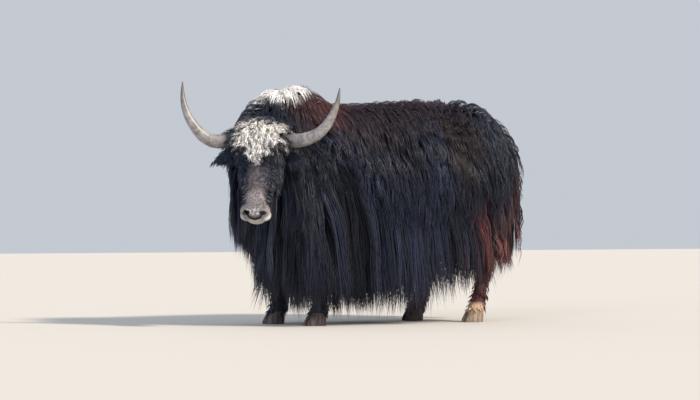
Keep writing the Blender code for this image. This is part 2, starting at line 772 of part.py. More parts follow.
def torso_coat(torso, others):
    """Three tiers down each flank and the rump, and one over the back."""
    coat = Coat(torso, others, 11)
    start, end = FLANK
    for hand in (1, -1):
        for tier in FLANK_TIERS:
            for i in range(tier["count"]):
                share = (i + 0.5 + coat.random.uniform(-0.15, 0.15)) / tier["count"]
                y = start + (end - start) * share
                z = tier["root"] + coat.random.uniform(-0.02, 0.02)
                tip = hem_height(y) if tier["tip"] is None else tier["tip"]
                coat.add(Vector((hand, y, z)), Vector((-hand, 0, 0)), Vector((0, 0.10, -1)),
                         tip + coat.random.uniform(-0.01, 0.05), tier["width"],
                         tier["lift"] + STAGGER * (i % 2))
        for i, y in enumerate(SHOULDER["places"]):
            coat.add(Vector((hand, y, SHOULDER["root"])), Vector((-hand, 0, 0)), -UP,
                     SHOULDER["tip"], SHOULDER["width"], SHOULDER["lift"] + STAGGER * (i % 2),
                     rise=0.1)
        for i in range(CREST["count"]):
            y = CREST["start"] + CREST["span"] * (i + 0.5) / CREST["count"]
            coat.add(Vector((CREST["aside"] * hand, y, 2)), -UP, Vector((hand, 0.45, -0.35)),
                     0, CREST["width"], CREST["lift"] + 0.008 * (i % 2), rise=0.15,
                     length=CREST["length"])
    for tier in RUMP_TIERS:
        for i, x in enumerate(RUMP_PLACES):
            coat.add(Vector((x, 2, tier["root"])), Vector((0, -1, 0)), Vector((x, 0, -1)),
                     tier["tip"], RUMP_WIDTH, tier["lift"] + STAGGER * (i % 2))
    coat.fuse()


def neck_place(station):
    """The middle line of the neck at a station, and the way to the animal's left there."""
    first = int(station)
    t = station - first
    x, y, top, bottom, _, turn = (
        a + (b - a) * t for a, b in zip(NECK[first], NECK[first + 1])
    )
    turn = math.radians(turn)
    return Vector((x, y, 0)), Vector((math.cos(turn), math.sin(turn), 0)), top, bottom


def neck_coat(neck, others):
    """Tiers down both sides of the neck, a fringe under the throat and a mane on top."""
    coat = Coat(neck, others, 23)
    for tier in NECK_TIERS:
        for key, hand in (("left", 1), ("right", -1)):
            for i, station in enumerate(tier[key]):
                middle, across, _, bottom = neck_place(station)
                z = max(tier["root"], bottom + 0.05)
                coat.add(middle + across * hand + UP * z, -across * hand, -UP,
                         tier["tip"] + 0.04 * i, NECK_WIDTH, tier["lift"] + STAGGER * (i % 2),
                         rise=0.25)
    for station, tip in zip(THROAT["stations"], THROAT["tips"]):
        for aside in (-THROAT["aside"], THROAT["aside"]):
            middle, across, _, _ = neck_place(station)
            coat.add(middle + across * aside + UP * 0.3, UP, Vector((0, 0, -1)), tip,
                     THROAT["width"], 0.0)
    for i, station in enumerate(MANE["stations"]):
        for hand in (1, -1):
            middle, across, _, _ = neck_place(station)
            coat.add(middle + across * MANE["aside"] * hand + UP * 2, -UP,
                     across * hand + Vector((0, 0.3, -0.4)), 0, MANE["width"],
                     MANE["lift"] + STAGGER * (i % 2), rise=0.15, length=MANE["length"])
    coat.fuse()


def curls(head, collection):
    """Rounded clumps set close over the poll and the forehead."""
    draw = random.Random(5)
    tree = tree_of([head])
    made = []
    for along, half, count in CURL_ROWS:
        for i in range(count):
            aside = half * (2 * i / (count - 1) - 1) + draw.uniform(-0.006, 0.006)
            start = on_head(along + draw.uniform(-0.006, 0.006), aside, 0.4)
            place, normal = surface(tree, start, -FACE_OUT)
            if place is None:
                place, _, _, _ = tree.find_nearest(on_head(along, aside, 0))
                normal = (place - on_head(along, 0, -0.03)).normalized()
            bm = bmesh.new()
            bmesh.ops.create_uvsphere(bm, u_segments=6, v_segments=4, radius=CURL["radius"])
            shape = Matrix.Diagonal((1, draw.uniform(0.8, 1.1), CURL["flat"], 1))
            turn = normal.to_track_quat("Z", "Y").to_matrix().to_4x4()
            spin = Matrix.Rotation(draw.uniform(0, math.tau), 4, "Z")
            bmesh.ops.transform(bm, matrix=Matrix.Translation(place) @ turn @ spin @ shape,
                                verts=bm.verts)
            made.append(add_mesh("curl", bm, collection))
    return made


def head_coat(head, others):
    """Locks over the cheeks and under the jaw."""
    coat = Coat(head, others, 37)
    for hand in (1, -1):
        for i, along in enumerate(CHEEK["places"]):
            coat.add(on_head(along, hand, CHEEK["out"]), -SIDE * hand,
                     MUZZLE_WAY - FACE_OUT * 0.5, 0, CHEEK["width"], CHEEK["lift"] * (1 + i % 2),
                     fall=0.2, rise=0.3, length=CHEEK["length"])
        for along in JAW["places"]:
            coat.add(on_head(along, JAW["aside"] * hand, -1), FACE_OUT, -UP, 0, JAW["width"], 0.0,
                     length=JAW["length"], rise=0.2)
    coat.fuse()


def tail_place(z):
    """How far back the middle of the dock is at a height."""
    for (y0, z0, _), (y1, z1, _) in zip(TAIL, TAIL[1:]):
        if z >= z1:
            return y0 + (y1 - y0) * (z0 - z) / (z0 - z1)
    return TAIL[-1][0]


def tail_coat(tail, others):
    """Locks that hang all round the dock."""
    coat = Coat(tail, others, 41)
    for i in range(TAIL_LOCKS["count"]):
        share = i / (TAIL_LOCKS["count"] - 1)
        z = TAIL_LOCKS["top"] + (TAIL_LOCKS["bottom"] - TAIL_LOCKS["top"]) * share
        angle = 0.3 + i * math.radians(137.5)
        way = Vector((math.cos(angle), math.sin(angle), 0))
        start = Vector((0, tail_place(z), z)) + way * 0.3
        coat.add(start, -way, -UP, TAIL_LOCKS["tip"] + 0.16 * (1 - share), TAIL_LOCKS["width"],
                 0.006)
    coat.fuse()


def tree_of(objects):
    """One search tree over the faces of several solids."""
    points, faces = [], []
    for item in objects:
        start = len(points)
        points += [vert.co.copy() for vert in item.data.vertices]
        faces += [[start + i for i in face.vertices] for face in item.data.polygons]
    return BVHTree.FromPolygons(points, faces)


def finish(node, name, finish_name, roughness):
    """Names a node, gives it its material and shades it."""
    node.name = name
    node.data.name = name
    node.data.materials.clear()
    node.data.materials.append(material(finish_name, roughness))
    node.data.shade_smooth()
    node.data.set_sharp_from_angle(angle=math.radians(35))


def centre_on_origin(nodes):
    """Slides the whole animal so that the origin lies on the floor under its middle."""
    corners = [vert.co for node in nodes for vert in node.data.vertices]
    middle = [(min(co[i] for co in corners) + max(co[i] for co in corners)) / 2 for i in range(2)]
    slide = Matrix.Translation((-middle[0], -middle[1], 0))
    for node in nodes:
        node.data.transform(slide)


def build():
    for old in list(bpy.data.objects):
        bpy.data.objects.remove(old)
    yak = bpy.data.collections.new("yak")
    bpy.context.scene.collection.children.link(yak)

    torso = torso_core(yak)
    join(torso, [muscle(name, centre, radii, yak) for name, centre, radii in MUSCLES])
    neck = neck_core(yak)
    head = head_core(yak)
    cut_point, cut_way = NECK_CUT
    cut(torso, [half_space(cut_point - cut_way * GAP / 2, cut_way)])
    cut(neck, [half_space(cut_point + cut_way * GAP / 2, -cut_way)])
    nape = on_head(0, 0, HEAD_CUT)
    cut(neck, [half_space(nape - FACE_OUT * GAP / 2, FACE_OUT)])
    cut(head, [half_space(nape + FACE_OUT * GAP / 2, -FACE_OUT)])

    lids = [eyeball("lid", hand, yak, EYE["lid"]) for hand in (1, -1)]
    join(head, [*lids, swelling(MUZZLE, yak), swelling(CHIN, yak)])
    openings = [lid_opening(hand) for hand in (1, -1)]
    sockets = [eyeball("socket", hand, cutters(), GAP) for hand in (1, -1)]
    cut(head, openings)
    cut(head, sockets)
    cut(head, [mouth_cutter()])
    cut(head, [nostril_cutter(hand) for hand in (1, -1)])
    eyes = {"eye_left": eyeball("eye_left", 1, yak), "eye_right": eyeball("eye_right", -1, yak)}

    horns = {
        "horn_left": horn("horn_left", HORN_LEFT, 1, yak),
        "horn_right": horn("horn_right", HORN_RIGHT, -1, yak),
    }
    ears = {"ear_left": ear("ear_left", 1, yak), "ear_right": ear("ear_right", -1, yak)}
    for node in [*horns.values(), *ears.values()]:
        cut(node, [copy_of(head, GAP)])
    fuse(head, curls(head, cutters()))
    cut(head, [copy_of(node, HAIR_GAP) for node in [*horns.values(), *ears.values()]])

    claws = {}
    legs = {}
    for name in LEGS:
        legs[name] = leg_core(name, yak)
        cut(legs[name], [copy_of(torso, GAP)])
        for side, hand in (("left", 1), ("right", -1)):
            toe = f"hoof_{name[4:]}_{side}_toe"
            claws[toe] = claw(toe, name, hand, yak)
            cut(legs[name], [copy_of(claws[toe], GAP)])

    tail_points = [Vector((0, y, z)) for y, z, _ in between(TAIL, 9)]
    tail_radii = [station[2] for station in between(TAIL, 9)]
    tail = tube("tail", tail_points, tail_radii, 10, yak)
    cut(tail, [copy_of(torso, GAP)])

    feet = [*legs.values(), *claws.values()]
    torso_coat(torso, [neck, head, tail, *feet])
    neck_coat(neck, [torso, head, *feet, *horns.values(), *ears.values()])
    head_coat(head, [neck, torso, *horns.values(), *ears.values(), *eyes.values()])
    tail_coat(tail, [torso, *feet])

    finish(torso, "torso", "coat", 0.75)
    finish(neck, "neck", "coat", 0.75)
    finish(head, "head", "coat", 0.75)
    finish(tail, "tail", "coat", 0.75)
    for name, node in legs.items():
        finish(node, name, "coat", 0.75)
    for name, node in ears.items():
        finish(node, name, "coat", 0.75)
    for name, node in horns.items():
        finish(node, name, "horn", 0.45)
    for name, node in eyes.items():
        finish(node, name, "eye", 0.08)
    for name, node in claws.items():
        finish(node, name, "hoof", 0.5)
    centre_on_origin([torso, neck, head, tail, *legs.values(), *ears.values(),
                      *horns.values(), *eyes.values(), *claws.values()])
    bpy.data.collections.remove(cutters())


build()
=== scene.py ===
# A life-size yak bull: skin, long coat, horns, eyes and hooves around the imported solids.
# Everything is worked out with the body's own middle at x = y = 0, and each finished mesh is
# then slid by the frame's own offset, read from the left eye.
import json
import math
import random

import bmesh
import bpy
import numpy as np
from mathutils import Matrix, Vector, noise
from mathutils.bvhtree import BVHTree

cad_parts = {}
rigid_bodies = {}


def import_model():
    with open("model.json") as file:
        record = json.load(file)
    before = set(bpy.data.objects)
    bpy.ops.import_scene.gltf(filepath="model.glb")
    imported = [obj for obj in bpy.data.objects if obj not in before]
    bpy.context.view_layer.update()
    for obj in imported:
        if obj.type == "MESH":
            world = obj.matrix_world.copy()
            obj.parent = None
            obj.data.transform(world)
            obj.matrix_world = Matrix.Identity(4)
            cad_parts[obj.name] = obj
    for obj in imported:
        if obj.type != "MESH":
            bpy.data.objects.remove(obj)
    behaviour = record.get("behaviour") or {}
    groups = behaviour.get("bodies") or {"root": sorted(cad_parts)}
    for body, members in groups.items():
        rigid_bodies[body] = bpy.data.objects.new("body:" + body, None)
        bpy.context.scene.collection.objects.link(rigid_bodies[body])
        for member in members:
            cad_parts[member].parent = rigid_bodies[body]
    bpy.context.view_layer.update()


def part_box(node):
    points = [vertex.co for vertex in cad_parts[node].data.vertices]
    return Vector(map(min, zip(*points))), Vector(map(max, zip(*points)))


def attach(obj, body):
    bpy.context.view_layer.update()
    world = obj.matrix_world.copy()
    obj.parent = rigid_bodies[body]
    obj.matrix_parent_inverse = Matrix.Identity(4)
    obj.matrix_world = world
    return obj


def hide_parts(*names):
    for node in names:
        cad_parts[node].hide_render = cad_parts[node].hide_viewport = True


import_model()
up = Vector((0, 0, 1))


def linear(code):
    # sRGB hex to the linear colour a shader wants
    parts = [int(code[i:i + 2], 16) / 255 for i in (1, 3, 5)]
    return tuple(c / 12.92 if c <= 0.04045 else ((c + 0.055) / 1.055) ** 2.4 for c in parts) + (1.0,)


# where the head hangs: it looks 54 degrees round to its left, the face 22 degrees off upright
head = {
    "turn": math.radians(54), "slope": math.radians(22),
    "hornLine": Vector((0.287, -0.902, 1.063)),
}
forward = Vector((math.sin(head["turn"]), -math.cos(head["turn"]), 0))
side = Vector((math.cos(head["turn"]), math.sin(head["turn"]), 0))
muzzleWay = (forward * math.sin(head["slope"]) - up * math.cos(head["slope"])).normalized()
faceOut = (forward * math.cos(head["slope"]) + up * math.sin(head["slope"])).normalized()


def onHead(along, aside, out):
    # down the face, to the animal's left, out of the face
    return head["hornLine"] + muzzleWay * along + side * aside + faceOut * out


def headPlace(points):
    # numpy points to head coordinates: along, aside, out
    away = points - np.array(head["hornLine"])
    return np.stack([away @ np.array(muzzleWay), away @ np.array(side), away @ np.array(faceOut)], 1)


eye = {"along": 0.105, "side": 0.106, "out": 0.046, "radius": 0.0225, "lid": 0.0032,
       "aside": 0.74, "ahead": 0.67, "iris": "#2c1a10", "white": "#3a2c26", "pupil": "#030303"}


def eyeCentre(hand):
    return onHead(eye["along"], eye["side"] * hand, eye["out"])


def eyeLook(hand):
    return (side * hand * eye["aside"] + faceOut * eye["ahead"]).normalized()


low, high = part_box("eye_left")
shift = (low + high) / 2 - eyeCentre(1)
shift.z = 0.0


def enter(piece, slot, *nodes):
    # slides a finished mesh into the frame, where it takes the place of the named solids
    piece.data.transform(Matrix.Translation(shift))
    piece.data.update()
    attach(piece, "root")
    if nodes:
        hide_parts(*nodes)


# shader nodes
def addNode(tree, kind, settings=None, **inputs):
    # one node with its settings; an input is given by its name, or by _ and its number, and a
    # colour by its hex code
    node = tree.nodes.new(kind)
    for key, value in (settings or {}).items():
        setattr(node, key, value)
    for key, value in inputs.items():
        socket = node.inputs[int(key[1:]) if key[0] == "_" else key]
        if isinstance(value, bpy.types.NodeSocket):
            tree.links.new(value, socket)
        else:
            socket.default_value = linear(value) if isinstance(value, str) else value
    return node


def newMaterial(name, roughness, specular=0.5):
    made = bpy.data.materials.new(name)
    made.use_nodes = True
    tree = made.node_tree
    shader = tree.nodes["Principled BSDF"]
    shader.inputs["Roughness"].default_value = roughness
    shader.inputs["Specular IOR Level"].default_value = specular
    return made, tree, shader


def numbered(tree, kind, settings, values):
    return addNode(tree, kind, settings, **{f"_{i}": value for i, value in enumerate(values)})


def maths(tree, operation, *values):
    return numbered(tree, "ShaderNodeMath", {"operation": operation}, values).outputs[0]


def vectors(tree, operation, *values, output=0):
    made = numbered(tree, "ShaderNodeVectorMath", {"operation": operation}, values)
    return made.outputs[output]


def product(tree, value, *factors):
    for factor in factors:
        value = maths(tree, "MULTIPLY", value, factor)
    return value


def ranged(tree, value, start, end, low=0.0, high=1.0):
    kind = {"interpolation_type": "SMOOTHSTEP"}
    return numbered(tree, "ShaderNodeMapRange", kind, (value, start, end, low, high)).outputs[0]


def mixColour(tree, amount, first, second):
    made = addNode(tree, "ShaderNodeMix", {"data_type": "RGBA"}, _0=amount, _6=first, _7=second)
    return made.outputs[2]


def attribute(tree, name, output="Fac"):
    return addNode(tree, "ShaderNodeAttribute", {"attribute_name": name}).outputs[output]


def objectPlace(tree):
    return addNode(tree, "ShaderNodeTexCoord").outputs["Object"]


def noiseOf(tree, vector, scale, detail=3.0, roughness=0.55):
    made = addNode(tree, "ShaderNodeTexNoise", Vector=vector, Scale=scale, Detail=detail,
                   Roughness=roughness)
    return made.outputs["Fac"]


def coverWith(tree, shader, colour, height, strength, depth):
    # colour and relief go into the shader
    tree.links.new(colour, shader.inputs["Base Color"])
    bump = addNode(tree, "ShaderNodeBump", Strength=strength, Distance=depth, Height=height)
    tree.links.new(bump.outputs[0], shader.inputs["Normal"])


def blob(tree, where, centre, radii, soft):
    # 1 inside an egg-shaped region of the body, fading out over its rim to 0
    away = vectors(tree, "SUBTRACT", where, tuple(centre))
    length = vectors(tree, "LENGTH", vectors(tree, "DIVIDE", away, radii), output="Value")
    return ranged(tree, length, 1 + soft, 1 - soft)


def dab(tree, colour, where, *patches):
    # lays patches over a colour, each in its own colour by its name in the coat or its hex code
    for *region, paint in patches:
        colour = mixColour(tree, blob(tree, where, *region), colour, coatColours.get(paint, paint))
    return colour


def headAxis(tree, where, axis):
    # how far a point is from the horn line along one of the head's own directions
    away = vectors(tree, "SUBTRACT", where, tuple(head["hornLine"]))
    return vectors(tree, "DOT_PRODUCT", away, tuple(axis), output="Value")


# deep, the near-black colour, is painted shade for the recess behind the shoulders
coatColours = {
    "deep": "#02050c", "black": "#0d1320", "blueBlack": "#161e2f", "brownBlack": "#2a1c20",
    "rufous": "#42211f", "rearRufous": "#5a3128", "rearRed": "#5b2d28", "hipBrown": "#20130f",
    "skirtBrown": "#2e1e24", "cheekGrey": "#31343f", "white": "#d3d1cd", "cream": "#cdc4b6",
    "grey": "#6a6466", "pinkGrey": "#9a8f90", "greyPink": "#7a7574", "pale": "#a7a3a2",
    "sock": "#b79a83",
}
# each patch has its middle, its radii, the softness of its rim and its colour
marking = {
    "patches": (
        ((0.0, -0.20, 1.28), (0.34, 0.36, 0.24), 0.5, "brownBlack"),
        ((0.0, 0.20, 1.30), (0.30, 0.46, 0.14), 0.5, "brownBlack"),
        ((0.12, -0.45, 1.32), (0.22, 0.20, 0.15), 0.35, "rufous"),
        ((0.0, -0.38, 1.36), (0.30, 0.14, 0.12), 0.35, "rufous"),
        ((0.24, 0.42, 1.15), (0.12, 0.14, 0.12), 0.2, "hipBrown"),
        ((0.25, 0.08, 0.37), (0.20, 0.46, 0.36), 0.6, "skirtBrown"),
        ((-0.25, 0.08, 0.37), (0.20, 0.46, 0.36), 0.6, "skirtBrown"),
        ((0.0, 0.92, 0.60), (0.40, 0.30, 0.36), 0.45, "rearRufous"),
        ((0.28, 0.45, 0.77), (0.10, 0.045, 0.12), 0.4, "rearRed"),
        ((0.15, 0.84, 0.90), (0.12, 0.060, 0.10), 0.4, "rearRed"),
        ((0.26, 0.64, 0.50), (0.20, 0.34, 0.30), 0.35, "rearRed"),
        ((-0.26, 0.62, 0.50), (0.20, 0.34, 0.30), 0.35, "rearRed"),
    ),
    # painted shade: near-black coat over the recess behind the shoulders, where that hollow falls
    # into shade
    "hollows": (
        ((0.28, -0.375, 0.62), (0.18, 0.130, 0.43), 0.2, "deep"),
        ((-0.28, -0.375, 0.62), (0.18, 0.130, 0.43), 0.2, "deep"),
    ),
    "cap": ((-0.03, -0.71, 1.385), (0.18, 0.185, 0.110), 0.14, "white"),
    # painted light: a paler grey-blue patch on the left cheek only, where light falls on it
    "cheek": (onHead(0.19, 0.10, -0.02), (0.080, 0.080, 0.115), 0.5, "cheekGrey"),
    # over the horn bases
    "darkCurls": (
        (onHead(-0.020, -0.128, 0.025), (0.050, 0.050, 0.050), 0.25, "black"),
        (onHead(-0.020, 0.128, 0.025), (0.034, 0.034, 0.034), 0.25, "black"),
    ),
    "nose": (onHead(0.29, 0.0, 0.06), (0.070, 0.070, 0.150), 0.35),
    "bridge": (onHead(0.375, 0.0, 0.06), (0.058, 0.058, 0.062), 0.4),
    "muzzle": (onHead(0.462, 0.0, 0.0), (0.130, 0.130, 0.072), 0.20, "greyPink"),
    "brows": (
        (onHead(0.074, 0.112, 0.072), (0.017, 0.017, 0.012), 0.3, "grey"),
        (onHead(0.074, -0.112, 0.072), (0.017, 0.017, 0.012), 0.3, "grey"),
    ),
    "hindLegs": ((0.0, 0.60, 0.26), (0.45, 0.36, 0.30), 0.25, "rufous"),
    "sock": ((0.18, 0.60, 0.035), (0.11, 0.14, 0.085), 0.18, "sock"),
    # how far the edges of the patches wander, and half the width of the forelock at its top
    "wobble": 0.11, "forelock": 0.132,
}


def markings(tree, where):
    # the coat's colours over the body, with painted shade behind the shoulders and painted light on
    # the left cheek, shared by the hair and the skin below it
    c = coatColours
    wobble = addNode(tree, "ShaderNodeTexNoise", Vector=where, Scale=9.0, Detail=3.0)
    spread = vectors(tree, "SUBTRACT", wobble.outputs["Color"], (0.5, 0.5, 0.5))
    spread = vectors(tree, "MULTIPLY", spread, (marking["wobble"],) * 3)
    moved = vectors(tree, "ADD", where, spread)
    colour = mixColour(tree, ranged(tree, noiseOf(tree, where, 3.1), 0.42, 0.62), c["black"],
                       c["blueBlack"])
    flecks = ranged(tree, noiseOf(tree, where, 38.0, 2.0), 0.30, 0.62, 0.45, 1.0)
    clumps = ranged(tree, noiseOf(tree, where, 13.0, 2.0), 0.47, 0.56)
    for *region, code in marking["patches"]:
        patchy = clumps if code == "rearRed" else flecks
        colour = mixColour(tree, product(tree, blob(tree, moved, *region), patchy), colour, c[code])
    # painted shade: near-black over the recess behind each shoulder
    colour = dab(tree, colour, where, *marking["hollows"])
    # the white cap over the hump, and the painted light on the left cheek
    colour = dab(tree, colour, moved, marking["cap"], marking["cheek"])
    # forelock: a white wedge over the poll that narrows between the eyes, edged by dark curls
    along = headAxis(tree, moved, muzzleWay)
    aside = maths(tree, "ABSOLUTE", headAxis(tree, moved, side))
    half = numbered(tree, "ShaderNodeMapRange", None,
                    (along, -0.01, 0.200, marking["forelock"], 0.0)).outputs[0]
    wedge = product(tree, ranged(tree, maths(tree, "SUBTRACT", half, aside), -0.004, 0.012),
                    ranged(tree, along, -0.090, -0.050),
                    ranged(tree, noiseOf(tree, where, 44.0, 2.0), 0.31, 0.37),
                    ranged(tree, headAxis(tree, where, faceOut), -0.04, 0.0))
    pale = mixColour(tree, ranged(tree, noiseOf(tree, where, 26.0), 0.45, 0.7), c["white"],
                     c["cream"])
    colour = mixColour(tree, wedge, colour, pale)
    colour = dab(tree, colour, moved, *marking["darkCurls"])
    # grey down the nose, paler and pinker towards the muzzle
    salt = ranged(tree, noiseOf(tree, where, 120.0), 0.34, 0.62, 0.25, 1.0)
    nose = product(tree, blob(tree, moved, *marking["nose"]), salt)
    colour = mixColour(tree, nose, colour, c["grey"])
    bridge = blob(tree, moved, *marking["bridge"])
    colour = mixColour(tree, bridge, colour, mixColour(tree, salt, c["grey"], c["pinkGrey"]))
    colour = dab(tree, colour, where, marking["muzzle"], *marking["brows"])
    # lower hind legs: rufous, and a pale sock on the left one
    colour = dab(tree, colour, moved, marking["hindLegs"])
    return dab(tree, colour, where, marking["sock"])


# forms of the flesh
def between(stations, count):
    # smooth curve through the stations
    spans = len(stations) - 1
    found = []
    for step in range(count):
        spot = spans * step / (count - 1)
        span = min(int(spot), spans - 1)
        t = spot - span
        before = stations[max(span - 1, 0)]
        start, end = stations[span], stations[span + 1]
        after = stations[min(span + 2, spans)]
        found.append(tuple(
            0.5 * (2 * b + (c - a) * t + (2 * a - 5 * b + 4 * c - d) * t ** 2
                   + (3 * b - a - 3 * c + d) * t ** 3)
            for a, b, c, d in zip(before, start, end, after)))
    return found


def angles(count):
    return [2 * math.pi * k / count for k in range(count)]


def oval(sides, halfWidth, top, middle, bottom, crest, keel=2.2):
    points = []
    for i in range(sides):
        angle = 2 * math.pi * (i + 0.5) / sides
        upper = math.sin(angle) > 0
        power = 2 / (crest if upper else keel)
        reach = top - middle if upper else middle - bottom
        aside = halfWidth * math.copysign(abs(math.cos(angle)) ** power, math.cos(angle))
        points.append((aside, middle + reach * math.copysign(abs(math.sin(angle)) ** power,
                                                             math.sin(angle))))
    return points


def ringShell(bm, rings):
    # a closed shell through rings of equally many points
    loops = [[bm.verts.new(point) for point in ring] for ring in rings]
    count = len(loops[0])
    faces = []
    for first, second in zip(loops, loops[1:]):
        for i in range(count):
            j = (i + 1) % count
            faces.append(bm.faces.new((first[i], first[j], second[j], second[i])))
    for loop in (loops[0], loops[-1]):
        middle = bm.verts.new(sum((vert.co for vert in loop), Vector()) / count)
        for i in range(count):
            faces.append(bm.faces.new((loop[i], loop[(i + 1) % count], middle)))
    bmesh.ops.recalc_face_normals(bm, faces=faces)


def egg(bm, centre, axes, radii, segments):
    # an ellipsoid along three given axes
    made = bmesh.ops.create_uvsphere(bm, u_segments=segments, v_segments=segments // 2, radius=1.0)
    for vert in made["verts"]:
        vert.co = centre + sum((axis * (vert.co[i] * radii[i]) for i, axis in enumerate(axes)),
                               Vector())
    faces = {face for vert in made["verts"] for face in vert.link_faces}
    bmesh.ops.recalc_face_normals(bm, faces=list(faces))


def meshObject(name, bm):
    mesh = bpy.data.meshes.new(name)
    bm.to_mesh(mesh)
    bm.free()
    made = bpy.data.objects.new(name, mesh)
    bpy.context.scene.collection.objects.link(made)
    return made


def applyAll(piece):
    graph = bpy.context.evaluated_depsgraph_get()
    mesh = bpy.data.meshes.new_from_object(piece.evaluated_get(graph))
    piece.modifiers.clear()
    old = piece.data
    piece.data = mesh
    bpy.data.meshes.remove(old)
    return piece


def remesh(piece, voxel, smooth, factor=0.5):
    # one even skin over everything in the mesh
    form = piece.modifiers.new("remesh", "REMESH")
    form.mode = "VOXEL"
    form.voxel_size = voxel
    soft = piece.modifiers.new("smooth", "SMOOTH")
    soft.factor = factor
    soft.iterations = smooth
    return applyAll(piece)


def booleanWith(piece, other, operation):
    change = piece.modifiers.new("join", "BOOLEAN")
    change.operation = operation
    change.solver = "MANIFOLD"
    change.object = other
    applyAll(piece)
    bpy.data.objects.remove(other)
    return piece


def cutAway(piece, shape, *details):
    # takes away the shell that shape builds
    bm = bmesh.new()
    shape(bm, *details)
    booleanWith(piece, meshObject("cut", bm), "DIFFERENCE")


def smoothPiece(name, bm, material):
    piece = meshObject(name, bm)
    piece.data.shade_smooth()
    piece.data.materials.append(material)
    return piece


# y, top, bottom, half width, height of the widest place, crest roundness
torso = {
    "stations": (
        (-0.80, 1.02, 0.80, 0.06, 0.92, 2.0),
        (-0.72, 1.250, 0.64, 0.15, 0.88, 1.9),
        (-0.62, 1.372, 0.55, 0.205, 0.86, 1.75),
        (-0.50, 1.358, 0.50, 0.245, 0.84, 1.65),
        (-0.34, 1.275, 0.48, 0.262, 0.84, 1.8),
        (-0.12, 1.256, 0.49, 0.275, 0.84, 2.1),
        (0.16, 1.256, 0.51, 0.288, 0.84, 2.3),
        (0.42, 1.271, 0.56, 0.282, 0.86, 2.3),
        (0.62, 1.272, 0.61, 0.262, 0.90, 2.2),
        (0.76, 1.205, 0.70, 0.212, 0.94, 2.1),
        (0.86, 1.08, 0.82, 0.12, 0.95, 2.0),
        (0.885, 1.02, 0.92, 0.04, 0.98, 2.0),
    ),
    "shoulder": ((0.170, -0.46, 0.84), (0.112, 0.16, 0.30)),
    "haunchLeft": ((0.170, 0.55, 0.86), (0.122, 0.22, 0.29)),
    "haunchRight": ((-0.170, 0.50, 0.86), (0.122, 0.22, 0.29)),
    "voxel": 0.012,
}
# x, y, top, bottom, half width, direction of the neck in degrees
neck = {
    "stations": (
        (0.0, -0.46, 1.31, 0.55, 0.20, 0.0),
        (0.0, -0.62, 1.335, 0.57, 0.195, 4.0),
        (0.05, -0.74, 1.27, 0.63, 0.165, 22.0),
        (0.13, -0.815, 1.18, 0.72, 0.138, 42.0),
        (0.205, -0.865, 1.115, 0.80, 0.118, 52.0),
        (0.27, -0.905, 1.07, 0.88, 0.095, 54.0),
    ),
}
# x, y on the left, y on the right, z, half width, half depth
legPairs = {
    "front": (
        (0.195, -0.44, -0.46, 0.74, 0.080, 0.120), (0.192, -0.45, -0.50, 0.58, 0.065, 0.083),
        (0.182, -0.450, -0.535, 0.44, 0.048, 0.058), (0.175, -0.455, -0.550, 0.37, 0.046, 0.052),
        (0.172, -0.448, -0.540, 0.27, 0.033, 0.038), (0.170, -0.448, -0.536, 0.17, 0.034, 0.040),
        (0.170, -0.455, -0.545, 0.115, 0.043, 0.050), (0.170, -0.468, -0.560, 0.070, 0.047, 0.052),
        (0.170, -0.475, -0.567, 0.050, 0.045, 0.046)),
    "hind": (
        (0.185, 0.52, 0.45, 0.84, 0.090, 0.180), (0.195, 0.52, 0.43, 0.68, 0.080, 0.138),
        (0.190, 0.60, 0.475, 0.52, 0.055, 0.088), (0.184, 0.665, 0.525, 0.43, 0.043, 0.062),
        (0.182, 0.668, 0.510, 0.33, 0.034, 0.044), (0.180, 0.648, 0.468, 0.22, 0.033, 0.040),
        (0.180, 0.625, 0.428, 0.125, 0.042, 0.050), (0.180, 0.605, 0.402, 0.072, 0.045, 0.052),
        (0.180, 0.597, 0.393, 0.050, 0.043, 0.046)),
}
legs = {}
for pair, rows in legPairs.items():
    legs[pair + "Left"] = [(x, left, *rest) for x, left, right, *rest in rows]
    legs[pair + "Right"] = [(-x, right, *rest) for x, left, right, *rest in rows]
# y, z, radius
tail = {"stations": ((0.78, 1.16, 0.038), (0.885, 1.12, 0.035), (0.925, 1.035, 0.030),
                     (0.940, 0.90, 0.025), (0.942, 0.76, 0.018), (0.942, 0.66, 0.008))}


def framed(points):
    # each point of a line, with two directions square to the line that don't twist along it
    across = None
    for i, point in enumerate(points):
        way = (points[min(i + 1, len(points) - 1)] - points[max(i - 1, 0)]).normalized()
        across = way.orthogonal() if across is None else across - way * across.dot(way)
        across.normalize()
        yield point, across, way.cross(across)


def makeBody():
    bm = bmesh.new()
    rings = []
    for y, top, bottom, half, widest, crest in between(torso["stations"], 40):
        rings.append([Vector((x, y, z)) for x, z in oval(36, half, top, widest, bottom, crest)])
    ringShell(bm, rings)
    rings = []
    for x, y, top, bottom, half, turn in between(neck["stations"], 20):
        across = Vector((math.cos(math.radians(turn)), math.sin(math.radians(turn)), 0))
        rings.append([Vector((x, y, 0)) + across * a + up * z
                      for a, z in oval(32, half, top, (top + bottom) / 2, bottom, 1.8, 2.0)])
    ringShell(bm, rings)
    axes = (Vector((1, 0, 0)), Vector((0, 1, 0)), up)
    centre, radii = torso["shoulder"]
    for hand in (1, -1):
        egg(bm, Vector((centre[0] * hand, centre[1], centre[2])), axes, radii, 24)
    for key in ("haunchLeft", "haunchRight"):
        centre, radii = torso[key]
        egg(bm, Vector(centre), axes, radii, 24)
    for stations in legs.values():
        ringShell(bm, [[Vector((x + half * math.cos(a), y + deep * math.sin(a), z))
                        for a in angles(20)] for x, y, z, half, deep in between(stations, 30)])
    stations = between(tail["stations"], 18)
    frames = framed([Vector((0, y, z)) for y, z, _ in stations])
    ringShell(bm, [[point + (across * math.cos(a) + other * math.sin(a)) * radius
                    for a in angles(14)]
                   for (point, across, other), (_, _, radius) in zip(frames, stations)])
    return remesh(meshObject("skin", bm), torso["voxel"], 3)


